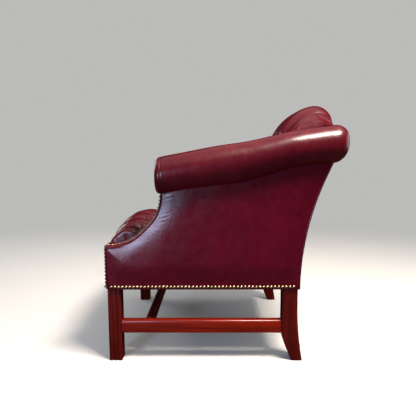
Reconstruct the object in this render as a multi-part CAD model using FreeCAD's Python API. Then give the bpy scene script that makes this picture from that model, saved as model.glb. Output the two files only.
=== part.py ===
"""Leather club chair: rolled arms, tufted seat and humped back on a mahogany base."""
import FreeCAD, Part
import math
import os

Vector = FreeCAD.Vector
os.makedirs("parts", exist_ok=True)

# Driving dimensions, in millimetres and degrees. X runs to the sitter's left and Z up from the floor.
# Y runs back from the front face of the front legs until a piece is exported.

# Frame and legs
BODY_WIDTH = 680.0
FRAME_DEPTH = 643.0
RAIL_BOTTOM = 252.0
RAIL_HEIGHT = 100.0
RAIL_THICKNESS = 28.0
LEG_WIDTH = 45.0
REED_COUNT = 3
REED_DEPTH = 2.6
REAR_LEG_DEPTH = 51.0
TOE_KICK = 19.0
TOE_DEPTH = 37.0
SWEEP_START = 200.0
FLARE_SHARE = 0.42
STRETCHER_BOTTOM = 97.0
STRETCHER_HEIGHT = 45.0
STRETCHER_THICKNESS = 23.0
STRETCHER_ROUNDING = 9.0
STRETCHER_INSET = 5.0
CROSS_STRETCHER_SETBACK = 122.0
TENON_LENGTH = 14.0
TENON_SHOULDER = 6.0
DOWEL_RADIUS = 5.0
DOWEL_LENGTH = 50.0
RAIL_DOWEL_SHARES = (0.35, 0.72)
POST_DOWEL_SHARES = (0.5, 0.85)
CORNER_BLOCK_LEG = 78.0
CORNER_BLOCK_HEIGHT = 40.0
SCREW_RADIUS = 2.5
SCREW_HEAD_RADIUS = 5.0
SCREW_HEAD_HEIGHT = 2.5
SCREW_GRIP = 16.0
SCREW_SHARES = (0.3, 0.7)
FIT_CLEARANCE = 0.1
SOFT_CLEARANCE = 0.4

# Skin over the frame
LEATHER = 2.0
BATTING = 3.0

# Arms
ARM_WIDTH = 72.0
ARM_SETBACK = 184.0
CORNER_HEIGHT = 402.0
SWOOP_CUT = 110.0
SWOOP_RADIUS = 145.0
CORNER_EASE = 3.0
ROLL_RADIUS = 61.0
ROLL_FRONT = 175.0
ROLL_FRONT_HEIGHT = 633.0
ROLL_REAR = 725.0
ROLL_OVERRUN = 26.0
ROLL_CAP = 43.0
ROLL_SLOPE = 10.3
SCROLL_FLAT = 30.0
ARM_POST_DEPTH = 60.0
ARM_RAIL_SIZE = 40.0
TACK_RAIL_SIZE = 25.0
SCROLL_BOARD_THICKNESS = 24.0
SCROLL_BOARD_GAP = 4.0

# Back
BACK_SWEEP = 930.0
BACK_SWEEP_ANGLE = 24.4
BACK_FRONT = 526.0
BACK_RECLINE = 13.0
BACK_DRAW_IN = 30.0
BACK_GAUGE_HEIGHT = 470.0
BACK_BOTTOM = 400.0
POST_TOP_LENGTH = 100.0
POST_TOP_BEHIND = 15.0
POST_TOP_AHEAD = 30.0
CREST_RISE = 103.0
CREST_RAKE = 16.0
CREST_LAP = 36.0
CREST_TUCK = 49.0
CREST_FRONT_ANGLE = 12.0
CREST_TUCK_ANGLE = 150.0
CREST_RAIL_THICKNESS = 30.0
CREST_RAIL_DROP = 45.0
BACK_RAIL_HEIGHT = 50.0
BACK_RAIL_THICKNESS = 25.0
WEB_WIDTH = 50.0
WEB_THICKNESS = 2.0
WEB_PITCH = 80.0

# Seat
SEAT_HEIGHT = 474.0
SEAT_CROWN = 30.0
SEAT_FALL = 18.0
SEAT_NOSE_DROP = 47.0
SEAT_NOSE_DEPTH = 66.0
NOSE_RADIUS = 60.0
TOP_RADIUS = 110.0
TUFT_LAYER = 28.0
SPRING_COUNT = 5
SPRING_WIRE = 4.0
SPRING_LOOP = 13.0
SPRING_SPAN = 50.0
CLIP_WIDTH = 22.0
CLIP_WALL = 2.0
BURLAP = 2.0
DUST_COVER = 1.5
DUST_COVER_INSET = 12.0

# Tufts and nails
BUTTON_RADIUS = 11.0
BUTTON_HEIGHT = 7.0
BUTTON_RIM = 3.2
TUFT_DEPTH = 18.0
TUFT_ANGLE = 50.0
TUFT_EASE = 2.0
PLEAT_DEPTH = 9.0
PLEAT_HALF_WIDTH = 9.0
PLEAT_LIFT = 6.0
PLEAT_STOP = 25.0
SEAT_TUFT_PITCH = 104.0
SEAT_TUFT_ROW = 82.0
SEAT_TUFT_FIRST = 95.0
BACK_TUFT_PITCH = 125.0
BACK_TUFT_ROW = 78.0
BACK_TUFT_FIRST = 536.0
NAIL_RADIUS = 5.3
NAIL_HEIGHT = 3.0
NAIL_LIFT = 0.9
NAIL_SHANK_RADIUS = 0.8
NAIL_SHANK = 13.0
NAIL_PITCH = 12.4
NAIL_EDGE = 8.5
NAIL_WOOD_EDGE = 3.0
NAIL_CORNER = 20.0
FACING_NAIL_INSET = 11.0

# Sizes that follow from those above
SKIN = LEATHER + BATTING
WELT_RADIUS = (SKIN - SOFT_CLEARANCE) / 2
HALF_BODY = BODY_WIDTH / 2
HALF_FRAME = HALF_BODY - SKIN
RAIL_TOP = RAIL_BOTTOM + RAIL_HEIGHT
ARM_INNER = HALF_BODY - ARM_WIDTH
ARM_WOOD_INNER = ARM_INNER + SKIN
LEG_INNER = HALF_FRAME - LEG_WIDTH
ROLL_X = ARM_INNER + ROLL_RADIUS
SIDE_GAP_X = ARM_INNER - SOFT_CLEARANCE
BOARD_RADIUS = ROLL_RADIUS - LEATHER - SCROLL_BOARD_GAP
CREST_END_X = ARM_INNER + CREST_LAP
ROLL_TAN = math.tan(math.radians(ROLL_SLOPE))
ROLL_REAR_HEIGHT = ROLL_FRONT_HEIGHT + (ROLL_REAR - ROLL_FRONT) * ROLL_TAN
SWEEP_Y = FRAME_DEPTH + SKIN + BACK_SWEEP
POST_REAR = BACK_SWEEP + SKIN
POST_FRONT = POST_REAR + REAR_LEG_DEPTH
STRETCHER_TOP = STRETCHER_BOTTOM + STRETCHER_HEIGHT
SPRING_Z = RAIL_TOP + CLIP_WALL + SPRING_WIRE / 2
BURLAP_Z = SPRING_Z + SPRING_WIRE / 2
DECK_Z = BURLAP_Z + BURLAP
RECLINE = math.radians(BACK_RECLINE)
SWEEP_ANGLE = math.radians(BACK_SWEEP_ANGLE)
RAKE = math.radians(CREST_RAKE)
FACING_ROUNDING = SKIN + CORNER_EASE
OVERSHOOT = 12.0
TOUCH = 1.0
ROUNDING_SHARE = 0.98
CREST_STEPS = 6
FRONT_MOST = -SKIN - NAIL_LIFT - NAIL_HEIGHT
REAR_MOST = ROLL_REAR + CREST_RISE * math.sin(RAKE) + ROLL_RADIUS
Y_SHIFT = -(FRONT_MOST + REAR_MOST) / 2


# Small tools

def box(x0, x1, y0, y1, z0, z1):
    return Part.makeBox(x1 - x0, y1 - y0, z1 - z0, Vector(x0, y0, z0))


def side_point(y, z):
    return Vector(0, y, z)


def line(a, b):
    return Part.LineSegment(a, b).toShape()


def arc(a, middle, b):
    return Part.Arc(a, middle, b).toShape()


def slab(edges, x0, x1):
    """Solid between two X positions from a closed outline drawn in the side plane."""
    face = Part.Face(Part.Wire(edges))
    face.translate(Vector(x0, 0, 0))
    return face.extrude(Vector(x1 - x0, 0, 0))


def outline(points):
    """Closed outline of straight lines through side-plane points (y, z)."""
    corners = [side_point(y, z) for y, z in points]
    return [line(corners[i], corners[(i + 1) % len(corners)]) for i in range(len(corners))]


def mirrored(shape):
    return shape.mirror(Vector(0, 0, 0), Vector(1, 0, 0))


def one_solid(shape):
    """The largest solid of a result, without stray slivers."""
    return max(shape.Solids, key=lambda solid: solid.Volume)


def export(node, shape):
    placed = shape.copy()
    placed.translate(Vector(0, Y_SHIFT, 0))
    placed.exportStep("parts/%s.step" % node)


def export_pair(node, shape):
    export(node + "_left", shape)
    export(node + "_right", mirrored(shape))


def rounded_path(points, radii, inset=0.0):
    """Edges of an open line through (y, z) points with rounded corners, moved to its left by inset."""
    corners = [side_point(y, z) for y, z in points]
    last = len(corners) - 1
    spans = [corners[i + 1] - corners[i] for i in range(last)]
    lengths = [span.Length for span in spans]
    along = [span / span.Length for span in spans]
    left = [Vector(0, -way.z, way.y) for way in along]
    half_turns = [0.0] + [along[i - 1].getAngle(along[i]) / 2 for i in range(1, last)] + [0.0]
    reach = [radius * math.tan(turn) for radius, turn in zip(radii, half_turns)]
    share = [min(1.0, ROUNDING_SHARE * lengths[i] / max(reach[i] + reach[i + 1], TOUCH)) for i in range(last)]
    moved = [corners[0] + left[0] * inset]
    for i in range(1, last):
        mitre = (left[i - 1] + left[i]) / (1 + left[i - 1].dot(left[i]))
        moved.append(corners[i] + mitre * inset)
    moved.append(corners[last] + left[last - 1] * inset)
    edges = []
    start = moved[0]
    for i in range(1, last):
        turn_sign = along[i - 1].cross(along[i]).x
        base_radius = radii[i] * min(share[i - 1], share[i])
        radius = base_radius + (inset if turn_sign < 0 else -inset)
        cut = radius * math.tan(half_turns[i])
        a = moved[i] - along[i - 1] * cut
        b = moved[i] + along[i] * cut
        inward = (along[i] - along[i - 1]).normalize()
        middle = moved[i] + inward * (radius / math.cos(half_turns[i]) - radius)
        edges.append(line(start, a))
        edges.append(arc(a, middle, b))
        start = b
    edges.append(line(start, moved[last]))
    return edges


def path_ends(edges):
    return edges[0].valueAt(edges[0].FirstParameter), edges[-1].valueAt(edges[-1].LastParameter)


def close_through(edges, points):
    """Closed outline made of a path and straight lines through further (y, z) points back to its start."""
    first, last = path_ends(edges)
    corners = [last] + [side_point(y, z) for y, z in points] + [first]
    return edges + [line(corners[i], corners[i + 1]) for i in range(len(corners) - 1)]


def sweep_turn(radius):
    """Height where the back's sweep of the given radius runs on straight."""
    return RAIL_BOTTOM + radius * math.sin(SWEEP_ANGLE)


def sweep_y(radius, z):
    """Y of the back's sweep at a height: an arc about the sweep centre, then its tangent."""
    turn = sweep_turn(radius)
    low = min(z, turn)
    y = SWEEP_Y - math.sqrt(radius ** 2 - (low - RAIL_BOTTOM) ** 2)
    return y + (z - low) * math.tan(SWEEP_ANGLE)


def sweep_path(radius, z0, z1):
    """Edges up the back's sweep between two heights."""
    turn = min(sweep_turn(radius), z1)
    places = [side_point(sweep_y(radius, z), z) for z in (z0, (z0 + turn) / 2, turn, z1)]
    edges = [arc(*places[:3])]
    if z1 > turn + TOUCH:
        edges.append(line(places[2], places[3]))
    return edges


def downward(edges):
    """The same edges walked the other way."""
    return [edge.reversed() for edge in reversed(edges)]


def sweep_layer(radius0, radius1, z0, z1, x0, x1):
    """Solid between two radii of the back's sweep, two heights and two X positions."""
    rear = sweep_path(radius0, z0, z1)
    front = sweep_path(radius1, z0, z1)
    rear_low, rear_high = side_point(sweep_y(radius0, z0), z0), side_point(sweep_y(radius0, z1), z1)
    front_low, front_high = side_point(sweep_y(radius1, z0), z0), side_point(sweep_y(radius1, z1), z1)
    edges = rear + [line(rear_high, front_high)] + downward(front) + [line(front_low, rear_low)]
    return slab(edges, x0, x1)


def roll_height(y):
    """Height of the arm roll's axis at a distance behind the front legs."""
    return ROLL_FRONT_HEIGHT + (y - ROLL_FRONT) * ROLL_TAN


def crest_centre(x):
    """Side-plane centre (y, z) of the crest roll at an X position: an S curve of two equal arcs each side."""
    rise_angle = 2 * math.atan(CREST_RISE / ROLL_X)
    radius = ROLL_X / (2 * math.sin(rise_angle))
    across = min(abs(x), ROLL_X)
    if across <= ROLL_X / 2:
        rise = CREST_RISE - radius + math.sqrt(radius ** 2 - across ** 2)
    else:
        rise = radius - math.sqrt(radius ** 2 - (ROLL_X - across) ** 2)
    return ROLL_REAR + rise * math.sin(RAKE), ROLL_REAR_HEIGHT + rise * math.cos(RAKE)


def dome_middle(radius, height, base):
    """Middle point of a spherical dome's profile, from its rim to its top on the axis."""
    ball = (radius ** 2 + height ** 2) / (2 * height)
    half = math.asin(min(1.0, radius / ball)) / 2
    return Vector(ball * math.sin(half), 0, base + height - ball * (1 - math.cos(half)))


def peg(radius, start, end):
    """Round bar between two points."""
    way = end - start
    return Part.makeCylinder(radius, way.Length, start, way)


def spaced(start, end, pitch):
    """Evenly spaced positions from start to end, at about the pitch."""
    steps = max(1, round((end - start) / pitch))
    return [start + (end - start) * i / steps for i in range(steps + 1)]


# Show wood

def front_leg():
    """Square leg with reeds on its two outer faces, plain where it stands inside the seat frame."""
    reed = LEG_WIDTH / REED_COUNT
    edges = []
    for i in range(REED_COUNT):
        start = Vector(HALF_FRAME - REED_DEPTH, LEG_WIDTH - i * reed, 0)
        middle = Vector(HALF_FRAME, LEG_WIDTH - (i + 0.5) * reed, 0)
        end = Vector(HALF_FRAME - REED_DEPTH, LEG_WIDTH - (i + 1) * reed, 0)
        if i == REED_COUNT - 1:
            end = Vector(HALF_FRAME - REED_DEPTH, REED_DEPTH, 0)
        edges.append(arc(start, middle, end))
    for i in range(REED_COUNT):
        start = Vector(HALF_FRAME - i * reed, REED_DEPTH, 0)
        if i == 0:
            start = Vector(HALF_FRAME - REED_DEPTH, REED_DEPTH, 0)
        middle = Vector(HALF_FRAME - (i + 0.5) * reed, 0, 0)
        end = Vector(HALF_FRAME - (i + 1) * reed, REED_DEPTH, 0)
        edges.append(arc(start, middle, end))
    edges.append(line(Vector(LEG_INNER, REED_DEPTH, 0), Vector(LEG_INNER, LEG_WIDTH, 0)))
    edges.append(line(Vector(LEG_INNER, LEG_WIDTH, 0), Vector(HALF_FRAME - REED_DEPTH, LEG_WIDTH, 0)))
    foot = Part.Face(Part.Wire(edges)).extrude(Vector(0, 0, RAIL_BOTTOM))
    top = box(LEG_INNER, HALF_FRAME, 0, LEG_WIDTH, RAIL_BOTTOM, RAIL_TOP)
    return foot.fuse(top).removeSplitter()


def post_top():
    """Heights where the raked back post turns upright, and its upright top end."""
    top = ROLL_REAR_HEIGHT
    return top - POST_TOP_LENGTH, top


def rear_leg():
    """Leg that sweeps back below the seat and runs up as the raked back post."""
    turn, top = post_top()
    rear_turn = sweep_y(POST_REAR, turn)
    front_turn = sweep_y(POST_FRONT, turn)
    rear_top = ROLL_REAR + POST_TOP_BEHIND
    front_top = ROLL_REAR - POST_TOP_AHEAD
    front = FRAME_DEPTH - REAR_LEG_DEPTH
    toe_rear = FRAME_DEPTH + TOE_KICK
    toe_front = toe_rear - TOE_DEPTH
    rear_mid = FRAME_DEPTH + TOE_KICK / 4
    front_mid = front + (toe_front - front) * FLARE_SHARE
    sweep_top = side_point(FRAME_DEPTH, SWEEP_START)
    edges = [
        line(side_point(toe_front, 0), side_point(toe_rear, 0)),
        arc(side_point(toe_rear, 0), side_point(rear_mid, SWEEP_START / 2), sweep_top),
        line(sweep_top, side_point(FRAME_DEPTH, RAIL_BOTTOM)),
    ]
    edges += sweep_path(POST_REAR, RAIL_BOTTOM, turn)
    edges += [
        line(side_point(rear_turn, turn), side_point(rear_top, top)),
        line(side_point(rear_top, top), side_point(front_top, top)),
        line(side_point(front_top, top), side_point(front_turn, turn)),
    ]
    edges += downward(sweep_path(POST_FRONT, RAIL_BOTTOM, turn))
    edges += [
        line(side_point(front, RAIL_BOTTOM), side_point(front, STRETCHER_BOTTOM)),
        arc(side_point(front, STRETCHER_BOTTOM), side_point(front_mid, STRETCHER_BOTTOM / 2),
            side_point(toe_front, 0)),
    ]
    return slab(edges, LEG_INNER, HALF_FRAME)


def tenon_box(x0, x1, y0, y1, clearance):
    """Tenon of a stretcher, or its mortise with the clearance added."""
    z0 = STRETCHER_BOTTOM + TENON_SHOULDER - clearance
    z1 = STRETCHER_TOP - STRETCHER_ROUNDING + clearance
    return box(x0 - clearance, x1 + clearance, y0 - clearance, y1 + clearance, z0, z1)


def side_tenons(clearance):
    """The two end tenons of the left side stretcher."""
    outer = HALF_FRAME - STRETCHER_INSET - TENON_SHOULDER
    inner = HALF_FRAME - STRETCHER_INSET - STRETCHER_THICKNESS + TENON_SHOULDER
    rear = FRAME_DEPTH - REAR_LEG_DEPTH
    front_tenon = tenon_box(inner, outer, LEG_WIDTH - TENON_LENGTH, LEG_WIDTH + TOUCH, clearance)
    rear_tenon = tenon_box(inner, outer, rear - TOUCH, rear + TENON_LENGTH, clearance)
    return [front_tenon, rear_tenon]


def cross_tenon(clearance):
    """The left end tenon of the cross stretcher."""
    inner = HALF_FRAME - STRETCHER_INSET - STRETCHER_THICKNESS
    y0 = CROSS_STRETCHER_SETBACK + TENON_SHOULDER
    y1 = CROSS_STRETCHER_SETBACK + STRETCHER_THICKNESS - TENON_SHOULDER
    return tenon_box(inner - TOUCH, inner + TENON_LENGTH, y0, y1, clearance)


def rounded_bar(bar, picks):
    """Bar with the long top edges at the picked positions rounded."""
    edges = [edge for edge in bar.Edges if picks(edge.CenterOfMass)]
    return bar.makeFillet(STRETCHER_ROUNDING, edges)


def side_stretcher():
    outer = HALF_FRAME - STRETCHER_INSET
    inner = outer - STRETCHER_THICKNESS
    bar = box(inner, outer, LEG_WIDTH, FRAME_DEPTH - REAR_LEG_DEPTH, STRETCHER_BOTTOM, STRETCHER_TOP)
    bar = rounded_bar(bar, lambda c: c.z > STRETCHER_TOP - TOUCH and abs(c.x - outer) < TOUCH)
    return bar.fuse(side_tenons(0)).removeSplitter()


def cross_stretcher():
    inner = HALF_FRAME - STRETCHER_INSET - STRETCHER_THICKNESS
    rear = CROSS_STRETCHER_SETBACK + STRETCHER_THICKNESS
    bar = box(-inner, inner, CROSS_STRETCHER_SETBACK, rear, STRETCHER_BOTTOM, STRETCHER_TOP)
    bar = rounded_bar(bar, lambda c: c.z > STRETCHER_TOP - TOUCH and abs(c.x) < TOUCH)
    tenon = cross_tenon(0)
    return bar.fuse([tenon, mirrored(tenon)]).removeSplitter()


# Hidden frame

def front_rail():
    return box(-LEG_INNER, LEG_INNER, 0, RAIL_THICKNESS, RAIL_BOTTOM, RAIL_TOP)


def rear_rail():
    return box(-LEG_INNER, LEG_INNER, FRAME_DEPTH - RAIL_THICKNESS, FRAME_DEPTH, RAIL_BOTTOM, RAIL_TOP)


def side_rail():
    rear = FRAME_DEPTH - REAR_LEG_DEPTH
    return box(HALF_FRAME - RAIL_THICKNESS, HALF_FRAME, LEG_WIDTH, rear, RAIL_BOTTOM, RAIL_TOP)


def rail_dowels(grow):
    """Dowels of the left side, or their holes grown by a clearance: rails to legs, arm post to rail."""
    half = DOWEL_LENGTH / 2 + grow
    radius = DOWEL_RADIUS + grow
    x = HALF_FRAME - RAIL_THICKNESS / 2
    pegs = []
    for share in RAIL_DOWEL_SHARES:
        z = RAIL_BOTTOM + RAIL_HEIGHT * share
        for y in (RAIL_THICKNESS / 2, FRAME_DEPTH - RAIL_THICKNESS / 2):
            pegs.append(peg(radius, Vector(LEG_INNER - half, y, z), Vector(LEG_INNER + half, y, z)))
        for y in (LEG_WIDTH, FRAME_DEPTH - REAR_LEG_DEPTH):
            pegs.append(peg(radius, Vector(x, y - half, z), Vector(x, y + half, z)))
    for share in POST_DOWEL_SHARES:
        y = ARM_SETBACK * share
        pegs.append(peg(radius, Vector(x, y, RAIL_TOP - half), Vector(x, y, RAIL_TOP + half)))
    return pegs


def corner_block(front):
    """Braced block in a corner of the seat frame, notched around the leg."""
    step = LEG_WIDTH - RAIL_THICKNESS
    depth_step = step if front else REAR_LEG_DEPTH - RAIL_THICKNESS
    x = HALF_FRAME - RAIL_THICKNESS
    y = RAIL_THICKNESS if front else FRAME_DEPTH - RAIL_THICKNESS
    way = 1 if front else -1
    reach = CORNER_BLOCK_LEG
    top = RAIL_TOP - CLIP_WALL
    corners = [(step, 0), (reach, 0), (0, reach), (0, depth_step), (step, depth_step)]
    points = [Vector(x - dx, y + way * dy, top - CORNER_BLOCK_HEIGHT) for dx, dy in corners]
    face = Part.Face(Part.makePolygon(points + points[:1]))
    return face.extrude(Vector(0, 0, CORNER_BLOCK_HEIGHT))


def block_screws(front):
    """Two screws through a corner block into the leg's inner corner."""
    step = LEG_WIDTH - RAIL_THICKNESS
    depth_step = step if front else REAR_LEG_DEPTH - RAIL_THICKNESS
    x = HALF_FRAME - RAIL_THICKNESS
    y = RAIL_THICKNESS if front else FRAME_DEPTH - RAIL_THICKNESS
    way = 1 if front else -1
    inner = Vector(x - step, y + way * depth_step, 0)
    out = Vector(-1, way, 0).normalize()
    face_gap = (CORNER_BLOCK_LEG - step - depth_step) / math.sqrt(2)
    screws = []
    for share in SCREW_SHARES:
        z = RAIL_TOP - CLIP_WALL - CORNER_BLOCK_HEIGHT * share
        seat = inner + out * face_gap + Vector(0, 0, z)
        tip = inner - out * SCREW_GRIP + Vector(0, 0, z)
        shank = peg(SCREW_RADIUS, tip, seat)
        head = peg(SCREW_HEAD_RADIUS, seat, seat + out * SCREW_HEAD_HEIGHT)
        screws.append((shank.fuse(head).removeSplitter(), peg(SCREW_RADIUS + FIT_CLEARANCE, tip, seat)))
    return screws


def facing_points(bottom):
    """Corners of the arm front seen from the side, from above the scroll to the bottom of the front edge."""
    z = ROLL_FRONT_HEIGHT
    return [
        (ROLL_FRONT, z + ROLL_RADIUS + OVERSHOOT),
        (ROLL_FRONT, z - SCROLL_FLAT),
        (ARM_SETBACK, z - ROLL_RADIUS),
        (ARM_SETBACK, CORNER_HEIGHT + SWOOP_CUT),
        (ARM_SETBACK - SWOOP_CUT, CORNER_HEIGHT),
        (-SKIN, CORNER_HEIGHT),
        (-SKIN, bottom),
    ]


FACING_RADII = [0.0, FACING_ROUNDING, FACING_ROUNDING, SWOOP_RADIUS, SWOOP_RADIUS, FACING_ROUNDING, 0.0]


def facing_path(inset, bottom):
    return rounded_path(facing_points(bottom), FACING_RADII, inset)


def facing_front(inset):
    """All the space in front of a layer of the arm front."""
    far = -BODY_WIDTH
    path = facing_path(inset, 0)
    top = path_ends(path)[0].z
    return slab(close_through(path, [(far, 0), (far, top)]), 0, BODY_WIDTH)


def arm_post():
    """Sawn block under the arm front, its front edge following the swoop below the facing."""
    rear = ARM_SETBACK + SKIN + ARM_POST_DEPTH
    path = facing_path(SKIN, RAIL_TOP)
    edges = close_through(path, [(rear, RAIL_TOP), (rear, path_ends(path)[0].z)])
    block = slab(edges, ARM_WOOD_INNER, HALF_FRAME)
    drop = ARM_RAIL_SIZE / 2 / math.cos(math.radians(ROLL_SLOPE))
    below_rail = under_roll(0, BODY_WIDTH, rear)
    below_rail.translate(Vector(0, 0, -drop))
    block = block.common(below_rail)
    board_rear = ROLL_FRONT + SKIN + SCROLL_BOARD_THICKNESS
    return one_solid(block.cut(scroll_disc(ROLL_RADIUS + SOFT_CLEARANCE, 0, board_rear)))


def scroll_disc(radius, y0, y1):
    """Upright disc at the front end of the arm roll between two Y positions."""
    return Part.makeCylinder(radius, y1 - y0, Vector(ROLL_X, y0, ROLL_FRONT_HEIGHT), Vector(0, 1, 0))


def scroll_board():
    start = ROLL_FRONT + SKIN
    disc = scroll_disc(BOARD_RADIUS, start, start + SCROLL_BOARD_THICKNESS)
    return one_solid(disc.cut(facing_front(SKIN)))


def roll_axis(y):
    return Vector(ROLL_X, y, roll_height(y))


def post_front_plane(x0, x1):
    """Space behind the front face of the back post's upper end, where the arm rail stops."""
    turn, top = post_top()
    y_turn = sweep_y(POST_FRONT, turn)
    lean = (ROLL_REAR - POST_TOP_AHEAD - y_turn) / (top - turn)
    far = 2 * BODY_WIDTH
    points = [(y_turn - turn * lean, 0), (y_turn + (far - turn) * lean, far), (far, far), (far, 0)]
    return slab(outline(points), x0, x1)


def arm_rail():
    """Square bar through the middle of the arm roll, from the scroll board to the back post."""
    half = ARM_RAIL_SIZE / 2
    start = ROLL_FRONT + SKIN + SCROLL_BOARD_THICKNESS
    under = half / math.cos(math.radians(ROLL_SLOPE))
    points = [
        (start, roll_height(start) - under),
        (ROLL_REAR, roll_height(ROLL_REAR) - under),
        (ROLL_REAR, roll_height(ROLL_REAR) + under),
        (start, roll_height(start) + under),
    ]
    bar = slab(outline(points), ROLL_X - half, ROLL_X + half)
    return one_solid(bar.cut(post_front_plane(0, BODY_WIDTH)))


def behind_posts(inset):
    """All the space behind the front of the back posts, moved forward by an inset."""
    top = ROLL_REAR_HEIGHT
    radius = POST_FRONT + inset
    far = 2 * SWEEP_Y
    edges = sweep_path(radius, RAIL_BOTTOM, top)
    edges.append(line(side_point(sweep_y(radius, top), top), side_point(far, top)))
    edges.append(line(side_point(far, top), side_point(far, RAIL_BOTTOM)))
    edges.append(line(side_point(far, RAIL_BOTTOM), side_point(sweep_y(radius, RAIL_BOTTOM), RAIL_BOTTOM)))
    return slab(edges, 0, BODY_WIDTH)


def arm_tack_rail():
    """Bar above the side rail that the inside arm is tacked to."""
    z0 = DECK_Z + TACK_RAIL_SIZE
    y0 = ARM_SETBACK + SKIN + ARM_POST_DEPTH
    bar = box(ARM_WOOD_INNER, ARM_WOOD_INNER + TACK_RAIL_SIZE, y0, FRAME_DEPTH, z0, z0 + TACK_RAIL_SIZE)
    return bar.cut(behind_posts(0))


def crest_rail():
    """Humped board between the back posts, its top edge along the middle of the crest roll."""
    step = LEG_INNER / CREST_STEPS
    tops = [Vector(i * step, *crest_centre(i * step)) for i in range(-CREST_STEPS, CREST_STEPS + 1)]
    up = Vector(0, math.sin(RAKE), math.cos(RAKE))
    base = Vector(0, ROLL_REAR, ROLL_REAR_HEIGHT) - up * CREST_RAIL_DROP
    curve = Part.BSplineCurve()
    curve.interpolate(tops)
    left = Vector(LEG_INNER, base.y, base.z)
    right = Vector(-LEG_INNER, base.y, base.z)
    edges = [curve.toShape(), line(tops[-1], left), line(left, right), line(right, tops[0])]
    normal = Vector(0, math.cos(RAKE), -math.sin(RAKE))
    face = Part.Face(Part.Wire(edges))
    face.translate(normal * (-CREST_RAIL_THICKNESS / 2))
    return face.extrude(normal * CREST_RAIL_THICKNESS)


def lower_back_rail():
    top = BACK_BOTTOM + BACK_RAIL_HEIGHT
    y0 = sweep_y(POST_FRONT, top)
    return box(-LEG_INNER, LEG_INNER, y0, y0 + BACK_RAIL_THICKNESS, BACK_BOTTOM, top)


# Springing

def spring_xs():
    half = ARM_INNER - SPRING_SPAN
    return spaced(-half, half, 2 * half / (SPRING_COUNT - 1))


def spring():
    """Sinuous wire from the front rail to the rear rail, centred on X zero."""
    first = RAIL_THICKNESS / 2
    last = FRAME_DEPTH - RAIL_THICKNESS / 2
    pitch = 2 * SPRING_LOOP
    bars = 2 * round((last - first) / pitch / 2) + 1
    gap = (last - first) / (bars - 1)
    half = SPRING_SPAN / 2 - gap / 2
    edges = []
    for i in range(bars):
        y = first + i * gap
        way = 1 if i % 2 == 0 else -1
        start = Vector(-way * half, y, SPRING_Z)
        end = Vector(way * half, y, SPRING_Z)
        edges.append(line(start, end))
        if i < bars - 1:
            middle = Vector(way * (half + gap / 2), y + gap / 2, SPRING_Z)
            edges.append(arc(end, middle, Vector(way * half, y + gap, SPRING_Z)))
    path = Part.Wire(edges)
    ring = Part.makeCircle(SPRING_WIRE / 2, edges[0].Vertexes[0].Point, Vector(1, 0, 0))
    return path.makePipeShell([Part.Wire(ring)], True, False)


def spring_clip(y):
    """Bent steel clip around a spring's end bar, seated on a rail."""
    bore = SPRING_WIRE / 2 + FIT_CLEARANCE
    outer = SPRING_WIRE / 2 + CLIP_WALL
    body = box(-CLIP_WIDTH / 2, CLIP_WIDTH / 2, y - outer, y + outer, RAIL_TOP, SPRING_Z + SPRING_WIRE / 2)
    hole = peg(bore, Vector(-CLIP_WIDTH, y, SPRING_Z), Vector(CLIP_WIDTH, y, SPRING_Z))
    mouth = box(-CLIP_WIDTH, CLIP_WIDTH, y - bore, y + bore, SPRING_Z, SPRING_Z + outer)
    return body.cut([hole, mouth])


def at_x(shape, x):
    moved = shape.copy()
    moved.translate(Vector(x, 0, 0))
    return moved


def burlap():
    return box(-ARM_WOOD_INNER, ARM_WOOD_INNER, 0, FRAME_DEPTH - REAR_LEG_DEPTH, BURLAP_Z, DECK_Z)


def back_webbing():
    """Straps across the front of the back posts."""
    turn = post_top()[0]
    low = BACK_BOTTOM + BACK_RAIL_HEIGHT + WEB_WIDTH
    straps = []
    reach = LEG_INNER + RAIL_THICKNESS
    half = WEB_WIDTH / 2
    for z in spaced(low, turn - half, WEB_PITCH):
        straps.append(sweep_layer(POST_FRONT, POST_FRONT + WEB_THICKNESS, z - half, z + half, -reach, reach))
    return straps


# Padding and leather of the seat and back

def back_line_y(z):
    """Y of the inside back's straight front at a height, on the centre line."""
    return BACK_FRONT + (z - BACK_GAUGE_HEIGHT) * math.tan(RECLINE)


def back_front(x):
    """How far the inside back is drawn in toward the arms at an X position."""
    return BACK_DRAW_IN * (x / ARM_INNER) ** 2


def back_section(x, inset, bottom, rear):
    """Closed side outline of the back cushion at X: front, shoulder, crest roll, tuck and web line."""
    normal = Vector(0, -math.cos(RECLINE), math.sin(RECLINE))
    up = Vector(0, math.sin(RECLINE), math.cos(RECLINE))
    centre = Vector(0, *crest_centre(x))
    radius = ROLL_RADIUS - inset
    lead = math.radians(CREST_FRONT_ANGLE)
    tuck = math.radians(CREST_TUCK_ANGLE)
    toward = Vector(0, math.sin(lead), -math.cos(lead))
    gauge = Vector(0, BACK_FRONT + back_front(x), BACK_GAUGE_HEIGHT) - normal * inset
    lean = toward.dot(normal)
    shoulder = ((gauge - centre).dot(normal) + radius * lean) / (1 + lean)
    shoulder_centre = centre + toward * (shoulder - radius)
    low = gauge + up * ((bottom - gauge.z) / up.z)
    front_top = shoulder_centre + normal * shoulder
    crest_start = centre - toward * radius
    mid_way = (normal - toward).normalize()
    crest_mid = centre + Vector(0, math.sin((tuck - lead) / 2), math.cos((tuck - lead) / 2)) * radius
    crest_end = centre + Vector(0, math.sin(tuck), math.cos(tuck)) * radius
    turn = post_top()[0]
    web = POST_FRONT + WEB_THICKNESS - rear
    edges = [
        line(low, front_top),
        arc(front_top, shoulder_centre + mid_way * shoulder, crest_start),
        arc(crest_start, crest_mid, crest_end),
        line(crest_end, side_point(sweep_y(web, turn), turn)),
    ]
    edges += downward(sweep_path(web, bottom, turn))
    edges.append(line(side_point(sweep_y(web, bottom), bottom), low))
    return place_wire(edges, x)


def place_wire(edges, x):
    wire = Part.Wire(edges)
    wire.translate(Vector(x, 0, 0))
    return wire


SECTION_SHARES = spaced(-1.0, 1.0, 0.25)


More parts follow.
